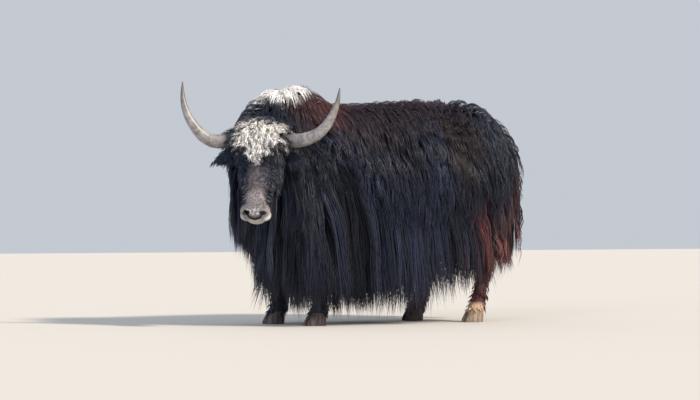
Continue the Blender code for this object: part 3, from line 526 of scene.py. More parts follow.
# down the face from the horn line: distance, half width, face side, jaw side, squareness
face = {
    "stations": (
        (-0.100, 0.040, 0.016, -0.030, 2.2),
        (-0.078, 0.090, 0.050, -0.070, 2.3),
        (-0.030, 0.118, 0.074, -0.112, 2.4),
        (0.040, 0.124, 0.082, -0.140, 2.5),
        (0.100, 0.116, 0.078, -0.147, 2.5),
        (0.165, 0.098, 0.070, -0.141, 2.6),
        (0.245, 0.080, 0.061, -0.119, 2.6),
        (0.325, 0.070, 0.053, -0.093, 2.5),
        (0.395, 0.070, 0.046, -0.075, 2.4),
        (0.440, 0.070, 0.036, -0.062, 2.3),
        (0.466, 0.055, 0.018, -0.050, 2.2),
        (0.480, 0.028, 0.000, -0.036, 2.0),
    ),
    # where each swelling is (down the face, aside, out), its half sizes and its segments
    "muzzle": (
        ((0.430, 0, 0.008), (0.080, 0.044, 0.046), 32),
        ((0.452, 0, 0.032), (0.044, 0.019, 0.031), 32),
        ((0.474, 0, -0.004), (0.066, 0.026, 0.022), 32),
    ),
    "chin": (((0.458, 0, -0.044), (0.058, 0.028, 0.036), 28),),
    # nostril wing, lip, cheek muscle, brow, orbit, the lids over the eyeball and the horn boss
    "pairs": (
        ((0.446, 0.050, 0.024), (0.034, 0.030, 0.034), 24),
        ((0.456, 0.052, -0.008), (0.036, 0.028, 0.034), 24),
        ((0.150, 0.080, -0.080), (0.034, 0.070, 0.095), 28),
        ((0.074, 0.094, 0.044), (0.036, 0.032, 0.036), 24),
        ((0.134, 0.090, 0.034), (0.034, 0.026, 0.036), 24),
        ((0.105, 0.096, 0.026), (0.042, 0.047, 0.056), 28),
        ((eye["along"], eye["side"] - 0.003, eye["out"] - 0.002),
         (eye["radius"] + eye["lid"],) * 3, 32),
        ((0.0, 0.105, -0.008), (0.045, 0.046, 0.046), 20),
    ),
    # thin bony ridge from the eye towards the nose
    "ridge": (((0.235, 0.066, 0.026), (0.018, 0.016, 0.090), 24),),
    "voxel": 0.0034,
}
headAxes = (side, faceOut, muzzleWay)
# the crease under the nose pad: how far down the face, its bow and half its width
crease = {"along": 0.486, "bow": 0.020, "half": 0.046}
# how deep the wrinkles are, and how close together: round the eyes and over the nose
wrinkles = {"eye": 0.0016, "eyeRate": 520, "nose": 0.0010, "noseRate": 620, "groove": 0.0024,
            "crease": 0.0060}
mouth = {"corner": 0.375, "front": 0.53, "cornerOut": -0.046, "frontOut": -0.014, "gap": 0.0048}
ear = {"along": 0.075, "side": 0.108, "out": -0.045, "length": 0.160, "width": 0.072,
       "thick": 0.030, "sunk": 0.02, "droop": 0.22, "back": 0.25}


def makeEarShell(bm, hand, cup=False):
    # the whole ear, or the hollow that is cut into its front
    way = (side * hand - up * ear["droop"] - forward * ear["back"]).normalized()
    front = (forward - way * forward.dot(way)).normalized()
    upper = front.cross(way)
    root = onHead(ear["along"], ear["side"] * hand, ear["out"])
    root -= way * (0.0 if cup else ear["sunk"])
    start, end = (0.045, 0.90) if cup else (0.0, 1.0)
    width = ear["width"] * (0.36 if cup else 0.50)
    thick = ear["thick"] * 0.50
    lean = ear["thick"] * 0.58 if cup else 0.0
    rings = []
    for step in range(17):
        t = step / 16
        swell = max(math.sin(math.pi * min(0.985, 0.17 + 0.83 * t ** 0.85)), 0.05)
        curl = 0.012 * math.sin(math.pi * t)
        reach = (ear["length"] + ear["sunk"]) * (start + (end - start) * t)
        centre = root + way * reach + front * lean - upper * curl
        rings.append([centre + upper * math.cos(a) * width * swell
                      + front * math.sin(a) * thick * swell for a in angles(20)])
    ringShell(bm, rings)


nostril = {"along": 0.456, "side": 0.047, "out": 0.045, "length": 0.019, "tall": 0.0095,
           "depth": 0.026}


def nostrilShell(bm, hand):
    # a comma-shaped pit that faces forwards and down and curls up at its outer end
    inward = -(faceOut * 0.86 + muzzleWay * 0.42 + side * hand * 0.28).normalized()
    long = (side * hand * 0.86 - muzzleWay * 0.50).normalized()
    long = (long - inward * long.dot(inward)).normalized()
    tall = inward.cross(long).normalized() * hand
    made = bmesh.ops.create_uvsphere(bm, u_segments=24, v_segments=14, radius=1.0)
    centre = onHead(nostril["along"], nostril["side"] * hand, nostril["out"])
    for vert in made["verts"]:
        x, y, z = vert.co
        bend = 0.007 * (x * x - 0.3)
        swell = 1.0 - 0.35 * x
        vert.co = (centre + long * x * nostril["length"] - muzzleWay * bend
                   + tall * y * nostril["tall"] * swell + inward * z * nostril["depth"])
    bmesh.ops.recalc_face_normals(bm, faces=list({f for v in made["verts"] for f in v.link_faces}))


def swellings(bm, rows, hand=1):
    for (along, aside, out), radii, segments in rows:
        egg(bm, onHead(along, aside * hand, out), headAxes, radii, segments)


def cutMouth(piece):
    # a thin curved sheet is taken out between the lips
    bm = bmesh.new()
    bmesh.ops.create_grid(bm, x_segments=12, y_segments=24, size=1.0)
    for vert in bm.verts:
        u, v = (vert.co.x + 1) / 2, vert.co.y
        out = mouth["cornerOut"] + (mouth["frontOut"] - mouth["cornerOut"]) * u
        vert.co = onHead(mouth["corner"] + (mouth["front"] - mouth["corner"]) * u, v * 0.12,
                         out + 0.010 * v * v + 0.003 * math.sin(u * 9))
    bmesh.ops.recalc_face_normals(bm, faces=bm.faces)
    sheet = meshObject("slit", bm)
    wall = sheet.modifiers.new("wall", "SOLIDIFY")
    wall.thickness = mouth["gap"]
    wall.offset = 0
    booleanWith(piece, applyAll(sheet), "DIFFERENCE")


def pressWrinkles(piece):
    count = len(piece.data.vertices)
    points = np.empty(count * 3)
    normals = np.empty(count * 3)
    piece.data.vertices.foreach_get("co", points)
    piece.data.vertices.foreach_get("normal", normals)
    points, normals = points.reshape(-1, 3), normals.reshape(-1, 3)
    spot = headPlace(points)
    push = np.zeros(count)
    # folds round the eyes, wrinkles over the nose and the groove down its middle
    for hand in (1, -1):
        away = np.linalg.norm(spot - [eye["along"], eye["side"] * hand, eye["out"]], axis=1)
        near = np.clip(1 - (away - 0.024) / 0.034, 0, 1) * (away > 0.020)
        push += wrinkles["eye"] * near * np.sin((away - 0.024) * wrinkles["eyeRate"])
    bridge = np.exp(-((spot[:, 0] - 0.405) / 0.022) ** 2) * (spot[:, 2] > 0.02)
    push += wrinkles["nose"] * bridge * np.sin(spot[:, 0] * wrinkles["noseRate"])
    groove = np.exp(-(spot[:, 1] / 0.0030) ** 2) * (spot[:, 0] > 0.455) * (spot[:, 2] > -0.02)
    push -= wrinkles["groove"] * groove
    # the crease that runs under the nose pad from one nostril to the other
    bow = np.clip(np.abs(spot[:, 1]) / crease["half"], 0, 1.4)
    fold = crease["along"] - crease["bow"] * bow ** 2
    under = np.exp(-((spot[:, 0] - fold) / 0.0042) ** 2)
    push -= wrinkles["crease"] * under * (spot[:, 2] > 0.002) * (np.abs(spot[:, 1]) < 0.050)
    points += normals * push[:, None]
    piece.data.vertices.foreach_set("co", points.ravel())


def lidShell(bm, hand):
    # the almond opening of the lids
    look = eyeLook(hand)
    corner = muzzleWay * 0.80 + faceOut * 0.35
    corner = (corner - look * corner.dot(look)).normalized()
    raiseWay = look.cross(corner) * hand
    rings = []
    for reach in (0.004, 0.070):
        ring = []
        for angle in angles(28):
            tall = 0.0135 if math.sin(angle) > 0 else 0.0110
            ring.append(eyeCentre(hand) + look * reach + corner * 0.0205 * math.cos(angle)
                        + raiseWay * tall * math.copysign(abs(math.sin(angle)) ** 1.25,
                                                          math.sin(angle)))
        rings.append(ring)
    ringShell(bm, rings)


def makeHead():
    bm = bmesh.new()
    ringShell(bm, [[onHead(along, aside, out) for aside, out in
                    oval(40, half, top, (top + jaw) * 0.45, jaw, square, 2.3)]
                   for along, half, top, jaw, square in between(face["stations"], 60)])
    swellings(bm, face["muzzle"])
    for hand in (1, -1):
        swellings(bm, face["pairs"], hand)
        makeEarShell(bm, hand)
        swellings(bm, face["ridge"], hand)
    swellings(bm, face["chin"])
    piece = remesh(meshObject("headForm", bm), face["voxel"], 6)
    # ears are hollowed, nostrils and the mouth are cut, then the rims are softened
    for hand in (1, -1):
        cutAway(piece, makeEarShell, hand, True)
        cutAway(piece, nostrilShell, hand)
    cutMouth(piece)
    remesh(piece, face["voxel"] * 1.06, 2, 0.4)
    pressWrinkles(piece)
    for hand in (1, -1):
        cutAway(piece, lidShell, hand)
        cutAway(piece, egg, eyeCentre(hand), headAxes, [eye["radius"] + 0.0004] * 3, 40)
    return piece


print("forms: body")
skin = makeBody()
print("forms: head")
booleanWith(skin, makeHead(), "UNION")
for polygon in skin.data.polygons:
    polygon.use_smooth = True
print("skin triangles", sum(len(p.vertices) - 2 for p in skin.data.polygons))
skinTree = BVHTree.FromPolygons([v.co.copy() for v in skin.data.vertices],
                                [tuple(p.vertices) for p in skin.data.polygons])


# the long coat: guide strands are combed over the skin, and each carries a clump of hairs
hem = ((-0.95, 0.50), (-0.90, 0.40), (-0.85, 0.28), (-0.80, 0.16), (-0.74, 0.08), (-0.66, 0.045),
       (-0.36, 0.045), (-0.30, 0.05), (0.00, 0.045), (0.10, 0.06), (0.24, 0.14), (0.50, 0.19),
       (0.66, 0.22), (0.80, 0.28), (0.95, 0.34))
lengths = ((0.50, 0.42), (0.66, 0.52), (0.80, 0.50), (0.95, 0.40), (1.08, 0.30), (1.18, 0.22),
           (1.26, 0.19), (1.40, 0.17))
backLifts = ((-0.80, 0.074), (-0.70, 0.072), (-0.60, 0.060), (-0.50, 0.046), (-0.40, 0.036),
             (-0.30, 0.036), (-0.12, 0.052), (0.0, 0.066), (0.16, 0.074), (0.60, 0.074),
             (0.80, 0.050))
chestHem = ((-0.85, 0.60), (-0.77, 0.46), (-0.69, 0.32), (-0.64, 0.20), (-0.57, 0.10),
            (-0.50, 0.045))


def clamp(value):
    return max(0.0, min(1.0, value))


def alongSkin(lie, normal):
    return (lie - normal * lie.dot(normal)).normalized()


def read(table, value):
    xs, ys = zip(*table)
    return float(np.interp(value, xs, ys))


def sampleSkin(count, seed, keep):
    # roots spread evenly over the part of the skin that keep says
    draw = np.random.default_rng(seed)
    mesh = skin.data
    mesh.calc_loop_triangles()
    corners = np.empty(len(mesh.loop_triangles) * 3, int)
    mesh.loop_triangles.foreach_get("vertices", corners)
    points = np.empty(len(mesh.vertices) * 3)
    mesh.vertices.foreach_get("co", points)
    points = points.reshape(-1, 3)
    a, b, c = (points[corners.reshape(-1, 3)[:, i]] for i in range(3))
    normal = np.cross(b - a, c - a)
    area = np.linalg.norm(normal, axis=1) / 2
    middle = (a + b + c) / 3
    unit = normal / np.maximum(area[:, None] * 2, 1e-12)
    weight = area * keep(middle, unit)
    pick = draw.choice(len(weight), count, p=weight / weight.sum())
    u, v = draw.random((2, count))
    flip = u + v > 1
    u[flip], v[flip] = 1 - u[flip], 1 - v[flip]
    places = a[pick] + (b - a)[pick] * u[:, None] + (c - a)[pick] * v[:, None]
    return places, unit[pick]


# how far the hair may stand off the head and the legs, where the flanks stop and how far it may
# reach past them, how near to the ground it may come, and the same on the right of the throat
bounds = {"head": 0.006, "legs": 0.018, "legTop": 0.50, "flank": 0.335, "past": 0.035,
          "ground": 0.03, "throat": 0.154, "pastThroat": 0.016}


def combGuide(root, normal, lie, length, lift, fall, rise, steps, lay):
    # a line that leaves the skin, lies along it and hangs where the skin falls away
    spot = root - normal * 0.004
    points = [spot]
    way = (lie + normal * rise).normalized()
    stride = length / steps
    for step in range(1, steps + 1):
        share = step / steps
        spot = spot + way * stride
        near, out, _, distance = skinTree.find_nearest(spot)
        inside = (spot - near).dot(out) < 0
        if distance > 1e-5:
            out = (near - spot if inside else spot - near).normalized()
        want = lift * min(1.0, share / 0.35) ** 0.8 * (1 - lay * share)
        if (near - head["hornLine"]).dot(forward) > -0.06:
            want = min(want, bounds["head"])
        elif near.z < bounds["legTop"]:
            want = min(want, bounds["legs"])
        loose = 1.0
        if inside or distance < want:
            spot = near + out * want
        elif lay and distance > want:
            spot = near + out * (want * 0.7 + distance * 0.3)
        elif distance > want + 0.01:
            loose = 2.2
        wide = abs(spot.x) - bounds["flank"]
        if wide > 0 and root.y > -0.66:
            spot.x = math.copysign(
                bounds["flank"] + bounds["past"] * math.tanh(wide / bounds["past"]), spot.x)
        over = -bounds["throat"] - (spot - head["hornLine"]).dot(side)
        if over > 0 and spot.z < 0.88 and (spot - head["hornLine"]).dot(forward) > -0.30:
            spot = spot + side * (over - bounds["pastThroat"]
                                  * math.tanh(over / bounds["pastThroat"]))
        spot.z = max(spot.z, bounds["ground"])
        points.append(spot)
        way = ((points[-1] - points[-2]).normalized() - up * fall * loose).normalized()
    return points


def legDistance(points):
    # how far each point is from the middle of the nearest leg, where it is at a leg's height
    best = np.full(len(points), 9.0)
    for stations in legs.values():
        table = np.array(stations)
        order = np.argsort(table[:, 2])
        x = np.interp(points[:, 2], table[order, 2], table[order, 0])
        y = np.interp(points[:, 2], table[order, 2], table[order, 1])
        deep = np.interp(points[:, 2], table[order, 2], table[order, 4])
        best = np.minimum(best, np.hypot(points[:, 0] - x, points[:, 1] - y) - deep)
    return best


def isHead(points):
    spot = headPlace(points)
    return (spot[:, 2] > -0.115 - 0.2 * np.clip(spot[:, 0] - 0.05, 0, 1)) & (spot[:, 0] > -0.13) \
        & (np.abs(spot[:, 1]) < 0.30) & (points[:, 1] < -0.60)


def isLeg(points):
    return (points[:, 2] < 0.52) & (legDistance(points) < 0.02)


def bodyOnly(middle, unit):
    keep = ~isHead(middle) & ~isLeg(middle)
    soft = np.where(unit[:, 2] < -0.6, 0.25, 1.0)
    return keep * soft


def units(rows):
    return rows / np.maximum(np.linalg.norm(rows, axis=2, keepdims=True), 1e-9)


def lockFaces(steps):
    # the triangles of one lock: a three-sided tube that ends in a point
    faces = []
    for i in range(steps - 1):
        for k in range(3):
            j = (k + 1) % 3
            faces.append((i * 3 + k, i * 3 + j, i * 3 + 3 + j))
            faces.append((i * 3 + k, i * 3 + 3 + j, i * 3 + 3 + k))
    last = (steps - 1) * 3
    for k in range(3):
        faces.append((last + k, last + (k + 1) % 3, steps * 3))
    faces.append((0, 2, 1))
    return np.array(faces)


def triangleMesh(name, verts, faces):
    mesh = bpy.data.meshes.new(name)
    mesh.vertices.add(len(verts))
    mesh.vertices.foreach_set("co", verts.reshape(-1).astype(np.float32))
    mesh.loops.add(len(faces) * 3)
    mesh.loops.foreach_set("vertex_index", faces.reshape(-1).astype(np.int32))
    mesh.polygons.add(len(faces))
    mesh.polygons.foreach_set("loop_start", np.arange(len(faces), dtype=np.int32) * 3)
    mesh.update(calc_edges=True)
    mesh.polygons.foreach_set("use_smooth", np.ones(len(faces), bool))
    return mesh


def growLocks(name, guides, outs, options, seed, material):
    # grows hairs round each guide; guides and outs hold a place and an outward way for every step
    draw = np.random.default_rng(seed)
    count, steps = guides.shape[0], guides.shape[1] - 1
    kids = options["children"]
    total = count * kids
    ways = units(np.gradient(guides, axis=1))
    sides = units(np.cross(ways, outs))
    fronts = np.cross(sides, ways)
    base, ways, sides, fronts = (np.repeat(a, kids, axis=0) for a in (guides, ways, sides, fronts))
    share = np.linspace(0, 1, steps + 1)[None, :]
    # roots lie round the guide's root on the skin, and the hairs close up towards its tip
    radius = options["spread"] * np.sqrt(draw.random(total))
    angle = draw.random(total) * 2 * math.pi
    aside = (radius * np.cos(angle))[:, None]
    ahead = (radius * np.sin(angle))[:, None]
    pull = 1 - options["clump"] * share ** 1.1
    deep = draw.random((total, 1)) * options["deep"] * np.minimum(1, share * 3)
    strength = np.repeat(draw.uniform(0.3, 1.7, count), kids)[:, None]
    phase = np.repeat(draw.random(count), kids)[:, None] + 0.12 * draw.random((total, 1))
    wave = options["wave"] * strength * share * np.sin(
        2 * math.pi * (share * options["turns"] + phase))
    stray = draw.normal(0, options["drift"], (total, 1)) * share ** 1.5
    # uneven lengths: each hair reads its guide only part of the way
    reach = share * (1 - options["uneven"] * draw.random((total, 1))) * steps
    lower = np.minimum(reach.astype(int), steps - 1)
    part = (reach - lower)[:, :, None]
    rows = np.arange(total)[:, None]

    def along(a):
        return a[rows, lower] * (1 - part) + a[rows, lower + 1] * part

    spine, way, across, front = along(base), along(ways), along(sides), along(fronts)
    curl = options.get("curl", 0.0) * share
    spin = (draw.random((total, 1)) + share * options.get("curlTurns", 0)) * 2 * math.pi
    lines = (spine + across * (aside * pull + wave + stray + curl * np.cos(spin))[:, :, None]
             + way * (ahead * (1 - 0.55 * share))[:, :, None]
             + front * (deep + curl * np.sin(spin))[:, :, None])
    lines[:, :, 2] = np.maximum(lines[:, :, 2], 0.022)
    # a flat three-sided section, widest a third of the way down
    profile = options["profile"]
    swell = np.interp(share, np.linspace(0, 1, len(profile)), profile)
    half = (options["width"] * draw.uniform(0.7, 1.25, (total, 1)) * swell / 2)[:, :, None]
    twist = draw.uniform(-0.7, 0.7, (total, 1)) + share * draw.uniform(-0.8, 0.8, (total, 1))
    flat = across * np.cos(twist)[:, :, None] + front * np.sin(twist)[:, :, None]
    ridge = front * np.cos(twist)[:, :, None] - across * np.sin(twist)[:, :, None]
    body = slice(0, steps)
    ring = np.stack([
        lines[:, body] - flat[:, body] * half[:, body],
        lines[:, body] + flat[:, body] * half[:, body],
        lines[:, body] + ridge[:, body] * half[:, body] * 0.9,
    ], axis=2).reshape(total, steps * 3, 3)
    verts = np.concatenate([ring, lines[:, -1:]], axis=1)
    perLock = steps * 3 + 1
    starts = np.arange(total)[:, None, None] * perLock
    faces = (lockFaces(steps)[None] + starts).reshape(-1, 3)
    mesh = triangleMesh(name, verts.reshape(-1, 3), faces)
    roots = lines[:, 0]
    # each hair's brightness, shared in part by its clump: partly the hairs' own tone, partly painted
    # highlight and shade on the clumps
    shade = options.get("clumpShade", 0.0)
    strand = shade * np.repeat(draw.random(count), kids) + (1 - shade) * draw.random(total)
    down = np.append(np.repeat(share[0][:steps], 3), 1.0)
    edge = np.append(np.tile([-1.0, 1.0, 0.0], steps), 0.0)
    pointData(mesh, "rootPlace", "FLOAT_VECTOR", np.repeat(roots, perLock, axis=0))
    pointData(mesh, "strand", "FLOAT", np.repeat(strand, perLock))
    pointData(mesh, "along", "FLOAT", np.tile(down, total))
    pointData(mesh, "across", "FLOAT", np.tile(edge, total))
    patchMap(mesh, roots, perLock, faces)
    piece = bpy.data.objects.new(name, mesh)
    bpy.context.scene.collection.objects.link(piece)
    mesh.materials.append(material)
    print(name, "locks", total, "triangles", len(faces))
    return piece


def pointData(mesh, name, kind, values):
    layer = mesh.attributes.new(name, kind, "POINT")
    key = "vector" if kind == "FLOAT_VECTOR" else "value"
    layer.data.foreach_set(key, np.ascontiguousarray(values, np.float32).reshape(-1))


def unwrapPlace(points):
    # the skin's own unwrap: length along the body against the angle round it, the head,
    # the legs and the trunk each in a strip of their own
    x, y, z = points.T
    trunk = np.stack([0.02 + 0.62 * (y + 1.0) / 2.0,
                      0.5 + 0.48 * np.arctan2(x, z - 0.88) / math.pi], 1)
    spot = headPlace(points)
    skull = np.stack([0.68 + 0.30 * (spot[:, 0] + 0.12) / 0.62,
                      0.25 + 0.23 * np.arctan2(spot[:, 1], spot[:, 2] + 0.03) / math.pi], 1)
    limb = np.stack([0.68 + 0.30 * np.clip(z / 0.6, 0, 1),
                     0.55 + 0.20 * (x > 0) + 0.10 * (y > 0)
                     + 0.04 * np.arctan2(x - 0.18 * np.sign(x), y - 0.5 * np.sign(y)) / math.pi], 1)
    chosen = np.where(isHead(points)[:, None], skull, trunk)
    chosen = np.where(isLeg(points)[:, None], limb, chosen)
    return np.clip(chosen, 0.004, 0.996)


def patchMap(mesh, roots, perLock, faces, size=0.003):
    # every lock is one small patch at its root's place
    corner = (faces % perLock).reshape(-1)
    lock = (faces // perLock).reshape(-1)
    within = np.stack([corner / perLock - 0.5, (corner % 3) / 2 - 0.5], 1)
    layer = mesh.uv_layers.new(name="OFBake")
    uv = unwrapPlace(roots)[lock] + within * size
    layer.uv.foreach_set("vector", uv.astype(np.float32).reshape(-1))


# lightest and darkest bound each hair's brightness: partly the hairs' own tone, partly painted
# highlight and shade on the clumps
hair = {"sheen": 0.12, "sheenTint": "#7f93cc", "bleach": "#5a3d33", "lightest": 2.5, "darkest": 0.34}


def hairMaterial(name, roughness, bleachAmount):
    # hair: keratin, dark and glossy. Each hair keeps its root's marking, browner towards the
    # tip on the hind half, where the weather has bleached it
    made, tree, shader = newMaterial(name, roughness, 0.45)
    where = attribute(tree, "rootPlace", "Vector")
    # the painted-shade region behind the shoulder: its hair is made rougher there and its painted
    # near-black is kept unbleached
    hollow = blob(tree, where, *marking["hollows"][0][:3])
    tree.links.new(ranged(tree, hollow, 0.0, 1.0, roughness, 0.95), shader.inputs["Roughness"])
    strand, along, across = (attribute(tree, name) for name in ("strand", "along", "across"))
    colour = markings(tree, where)
    spot = addNode(tree, "ShaderNodeSeparateXYZ", Vector=where)
    bleach = product(tree, ranged(tree, along, 0.40, 1.0),
                     ranged(tree, strand, 0.3, 1.0, 0.0, bleachAmount),
                     ranged(tree, hollow, 0.0, 0.7, 1.0, 0.0),
                     ranged(tree, spot.outputs["Y"], 0.05, 0.70, 0.12, 1.0),
                     ranged(tree, spot.outputs["Z"], 1.05, 0.80, 0.15, 1.0))
    colour = mixColour(tree, bleach, colour, hair["bleach"])
    # single hairs show as streaks along the lock
    streak = addNode(tree, "ShaderNodeCombineXYZ", X=across, Y=along, Z=strand).outputs[0]
    lines = noiseOf(tree, vectors(tree, "MULTIPLY", streak, (4.5, 1.2, 60.0)), 1.0, 2.0)
    # brighter and darker hairs and clumps: partly their own tone, partly painted highlight and shade
    light = product(tree, ranged(tree, strand, 0.0, 1.0, hair["darkest"], hair["lightest"]),
                    ranged(tree, lines, 0.3, 0.7, 0.7, 1.3))
    scaled = addNode(tree, "ShaderNodeVectorMath", {"operation": "SCALE"}, _0=colour, Scale=light)
    coverWith(tree, shader, scaled.outputs[0], lines, 0.4, 0.0006)
    shader.inputs["Sheen Weight"].default_value = hair["sheen"]
    shader.inputs["Sheen Roughness"].default_value = 0.35
    shader.inputs["Sheen Tint"].default_value = linear(hair["sheenTint"])
    return made


longHair = hairMaterial("yakGuardHair", 0.42, 0.75)
shortHair = hairMaterial("yakUndercoat", 0.60, 0.15)


def bodyLie(root, normal):
    # down and a little back, parting along the spine
    aim = Vector((0.30 * math.copysign(1, root.x) * (1 if abs(root.x) > 0.01 else 0), 0.26, -1.0))
    if root.y < -0.66:
        aim = Vector((0.0, 0.10, -1.0))
    lie = aim - normal * aim.dot(normal)
    return lie.normalized() if lie.length > 0.05 else Vector((0, 1, 0))


def combAll(places, normals, options, describe):
    # combs one guide from each root; describe gives its length, how far it lifts, how fast it
    # falls, how steeply it rises at first, its lie, and how much of the lift it loses again
    draw = random.Random(options["seed"])
    lines, outs = [], []
    for spot, unit in zip(places, normals):
        root, normal = Vector(spot), Vector(unit)
        length, lift, fall, rise, lie, lay = describe(draw, root, normal)
        points = combGuide(root, normal, lie, length, lift, fall, rise, options["steps"], lay)
        lines.append([tuple(p) for p in points])
        out = normal.copy()
        row = []
        for i, point in enumerate(points):
            near, _, _, distance = skinTree.find_nearest(point)
            if i and distance > 1e-4 and distance < 0.10:
                out = (out * 0.4 + (point - near).normalized() * 0.6).normalized()
            row.append(tuple(out))
        outs.append(row)
    return np.array(lines), np.array(outs)


def drift(root, scale, seed):
    # a slow, seeded change over the body, from -1 to 1
    return noise.noise(root * scale + Vector((seed, seed * 2, 0)))


def swayed(root, normal, sway, pull=Vector()):
    # the body's own lie, turned a little aside
    lie = bodyLie(root, normal)
    return (lie + normal.cross(lie) * sway + pull).normalized()


# how wide a long and a short hair is from its root to its tip
longTaper = (0.7, 1.0, 0.95, 0.8, 0.6, 0.25)
shortTaper = (0.8, 1.0, 0.9, 0.7, 0.3)
shortCoat = {
    "guides": 1350, "children": 11, "steps": 5, "spread": 0.030, "clump": 0.26, "deep": 0.012,
    "wave": 0.003, "turns": 1.2, "drift": 0.006, "uneven": 0.35, "width": 0.0042,
    "profile": (0.8, 1.0, 0.85, 0.6, 0.4, 0.15), "pieces": 3, "gap": 0.024, "seed": 3, "rootSeed": 17,
    "clumpShade": 0.5,
}
flankCoat = {
    "guides": 1150, "children": 13, "steps": 6, "spread": 0.030, "clump": 0.55, "deep": 0.016,
    "wave": 0.014, "turns": 1.7, "drift": 0.012, "uneven": 0.20, "width": 0.0046,
    "profile": longTaper, "pieces": 3, "gap": 0.029, "seed": 4, "rootSeed": 18, "clumpShade": 0.5,
}
rearCoat = {
    "guides": 430, "children": 13, "steps": 6, "spread": 0.026, "clump": 0.72, "deep": 0.014,
    "wave": 0.026, "turns": 2.0, "drift": 0.006, "uneven": 0.34, "width": 0.0054,
    "profile": longTaper, "pieces": 2, "gap": 0.028, "seed": 5, "rootSeed": 19, "clumpShade": 0.5,
}
curtainCoat = {
    "guides": 560, "children": 14, "steps": 6, "spread": 0.028, "clump": 0.52, "deep": 0.018,
    "wave": 0.015, "turns": 1.7, "drift": 0.012, "uneven": 0.18, "width": 0.0042,
    "profile": longTaper, "pieces": 2, "gap": 0.025, "seed": 6, "rootSeed": 20, "clumpShade": 0.4,
}


def isShort(points):
    # the back, the hump and the top of the rump
    return points[:, 2] > 1.115 + 0.05 * np.sin(points[:, 1] * 9)


def isCurtain(points):
    edge = -0.490 - 0.28 * np.clip(points[:, 2] - 0.62, 0, 1)
    return (points[:, 1] < edge) & ~isShort(points)


def isRear(points):
    return (points[:, 1] > 0.44 + 0.10 * (points[:, 2] - 0.7)) & ~isShort(points)


def isFlank(points):
    return ~(isShort(points) | isCurtain(points) | isRear(points))


def bodyPart(test):
    return lambda middle, unit: bodyOnly(middle, unit) * test(middle)


def describeShort(draw, root, normal):
    length = read(lengths, root.z) * draw.uniform(0.85, 1.15)
    lift = 0.030 + (read(backLifts, root.y) - 0.030) * clamp((root.z - 1.05) / 0.12)
    lift *= 1 + 0.10 * drift(root, 7.0, 3)
    # the coat is worn thin on the left hip
    worn = math.exp(-((root.y - 0.40) / 0.13) ** 2 - ((root.z - 1.20) / 0.11) ** 2)
    if root.x > 0:
        length *= 1 - 0.78 * worn
        lift *= 1 - 0.6 * worn
    if root.z > 1.24 and root.y > -0.3:
        length *= 0.85
    lie = swayed(root, normal, 0.30 * drift(root, 4.0, 1) + draw.uniform(-0.06, 0.06))
    rump = clamp((root.y - 0.45) / 0.2)
    return length, lift, 0.14 + 0.16 * rump, 0.24 - 0.12 * rump, lie, 0.40 + 0.20 * rump


def describeFlank(draw, root, normal):
    reach = root.z - read(hem, root.y)
    length = reach * draw.uniform(0.97, 1.10) if root.z < 0.90 else read(lengths, root.z)
    length = min(max(length, 0.08), max(reach * 1.10, 0.07))
    fold = drift(Vector((root.x, root.y * 3.4, root.z * 0.5)), 3.0, 5)
    lift = read(((0.5, 0.010), (0.8, 0.030), (1.0, 0.034), (1.12, 0.038)), root.z)
    lift = max(lift + 0.022 * fold, 0.004)
    # the hair lies flat in the hollow behind the shoulder
    hollow = read(((-0.62, 0.3), (-0.46, 0.04), (-0.28, 0.04), (-0.17, 1.0)), root.y)
    lift *= hollow + (1 - hollow) * clamp((root.z - 0.95) / 0.15)
    if root.z > 0.90:
        length *= 0.55 + 0.45 * hollow
    if normal.z < -0.5:
        length *= 0.85
    sway = 0.30 * drift(root, 3.2, 2) + 0.26 * drift(root, 10.0, 9) + draw.uniform(-0.12, 0.12)
    return length, lift, 0.24, 0.16, swayed(root, normal, sway), 0.0


def describeRear(draw, root, normal):
    reach = root.z - read(hem, root.y)
    length = reach * draw.uniform(0.90, 1.04) if root.z < 0.72 else read(lengths, root.z) * 0.9
    length = min(max(length, 0.08), max(reach * 1.04, 0.07)) * draw.uniform(0.85, 1.08)
    lift = 0.024 + 0.010 * drift(root, 6.0, 7) \
        + (0.024 + 0.051 * clamp((0.95 - root.z) / 0.20)) * max(0.0, normal.y)
    sway = 0.50 * drift(root, 4.6, 4) + draw.uniform(-0.14, 0.14)
    return length, lift, 0.42, 0.14, swayed(root, normal, sway), 0.0


def describeCurtain(draw, root, normal):
    # the chest hair gets shorter round towards the animal's right
    reach = root.z - max(read(hem, root.y), read(chestHem, root.x * 0.5 + root.y * 0.866))
    length = reach * draw.uniform(0.90, 1.06) if root.z < 0.88 else read(lengths, root.z) * 1.25
    length = min(max(length, 0.08), max(reach * 1.06, 0.07))
    swell = read(((0.55, 0.056), (0.70, 0.098), (0.95, 0.066), (1.12, 0.036)), root.z)
    swell *= 0.22 + 0.78 * clamp(0.35 + normal.x * 1.1)
    lift = max(swell + 0.012 * drift(Vector((root.x, root.y * 2.5, root.z)), 3.5, 6), 0.006)
    sway = 0.24 * drift(root, 3.4, 8) + 0.22 * drift(root, 10.0, 9) + draw.uniform(-0.12, 0.12)
    return length, lift, 0.26, 0.14, swayed(root, normal, sway, Vector((0, -0.18, 0))), 0.0


pieces = []


def spaced(count, seed, keep, gap):
    # even roots: candidates too near a kept one are dropped
    places, normals = sampleSkin(count * 3, seed, keep)
    kept, grid = [], {}
    for i, p in enumerate(places):
        cell = tuple(int(c // gap) for c in p)
        near = (j for dx in (-1, 0, 1) for dy in (-1, 0, 1) for dz in (-1, 0, 1)
                for j in grid.get((cell[0] + dx, cell[1] + dy, cell[2] + dz), ()))
        if all(np.sum((places[j] - p) ** 2) >= gap * gap for j in near):
            kept.append(i)
            grid.setdefault(cell, []).append(i)
        if len(kept) == count:
            break
    return places[kept], normals[kept]


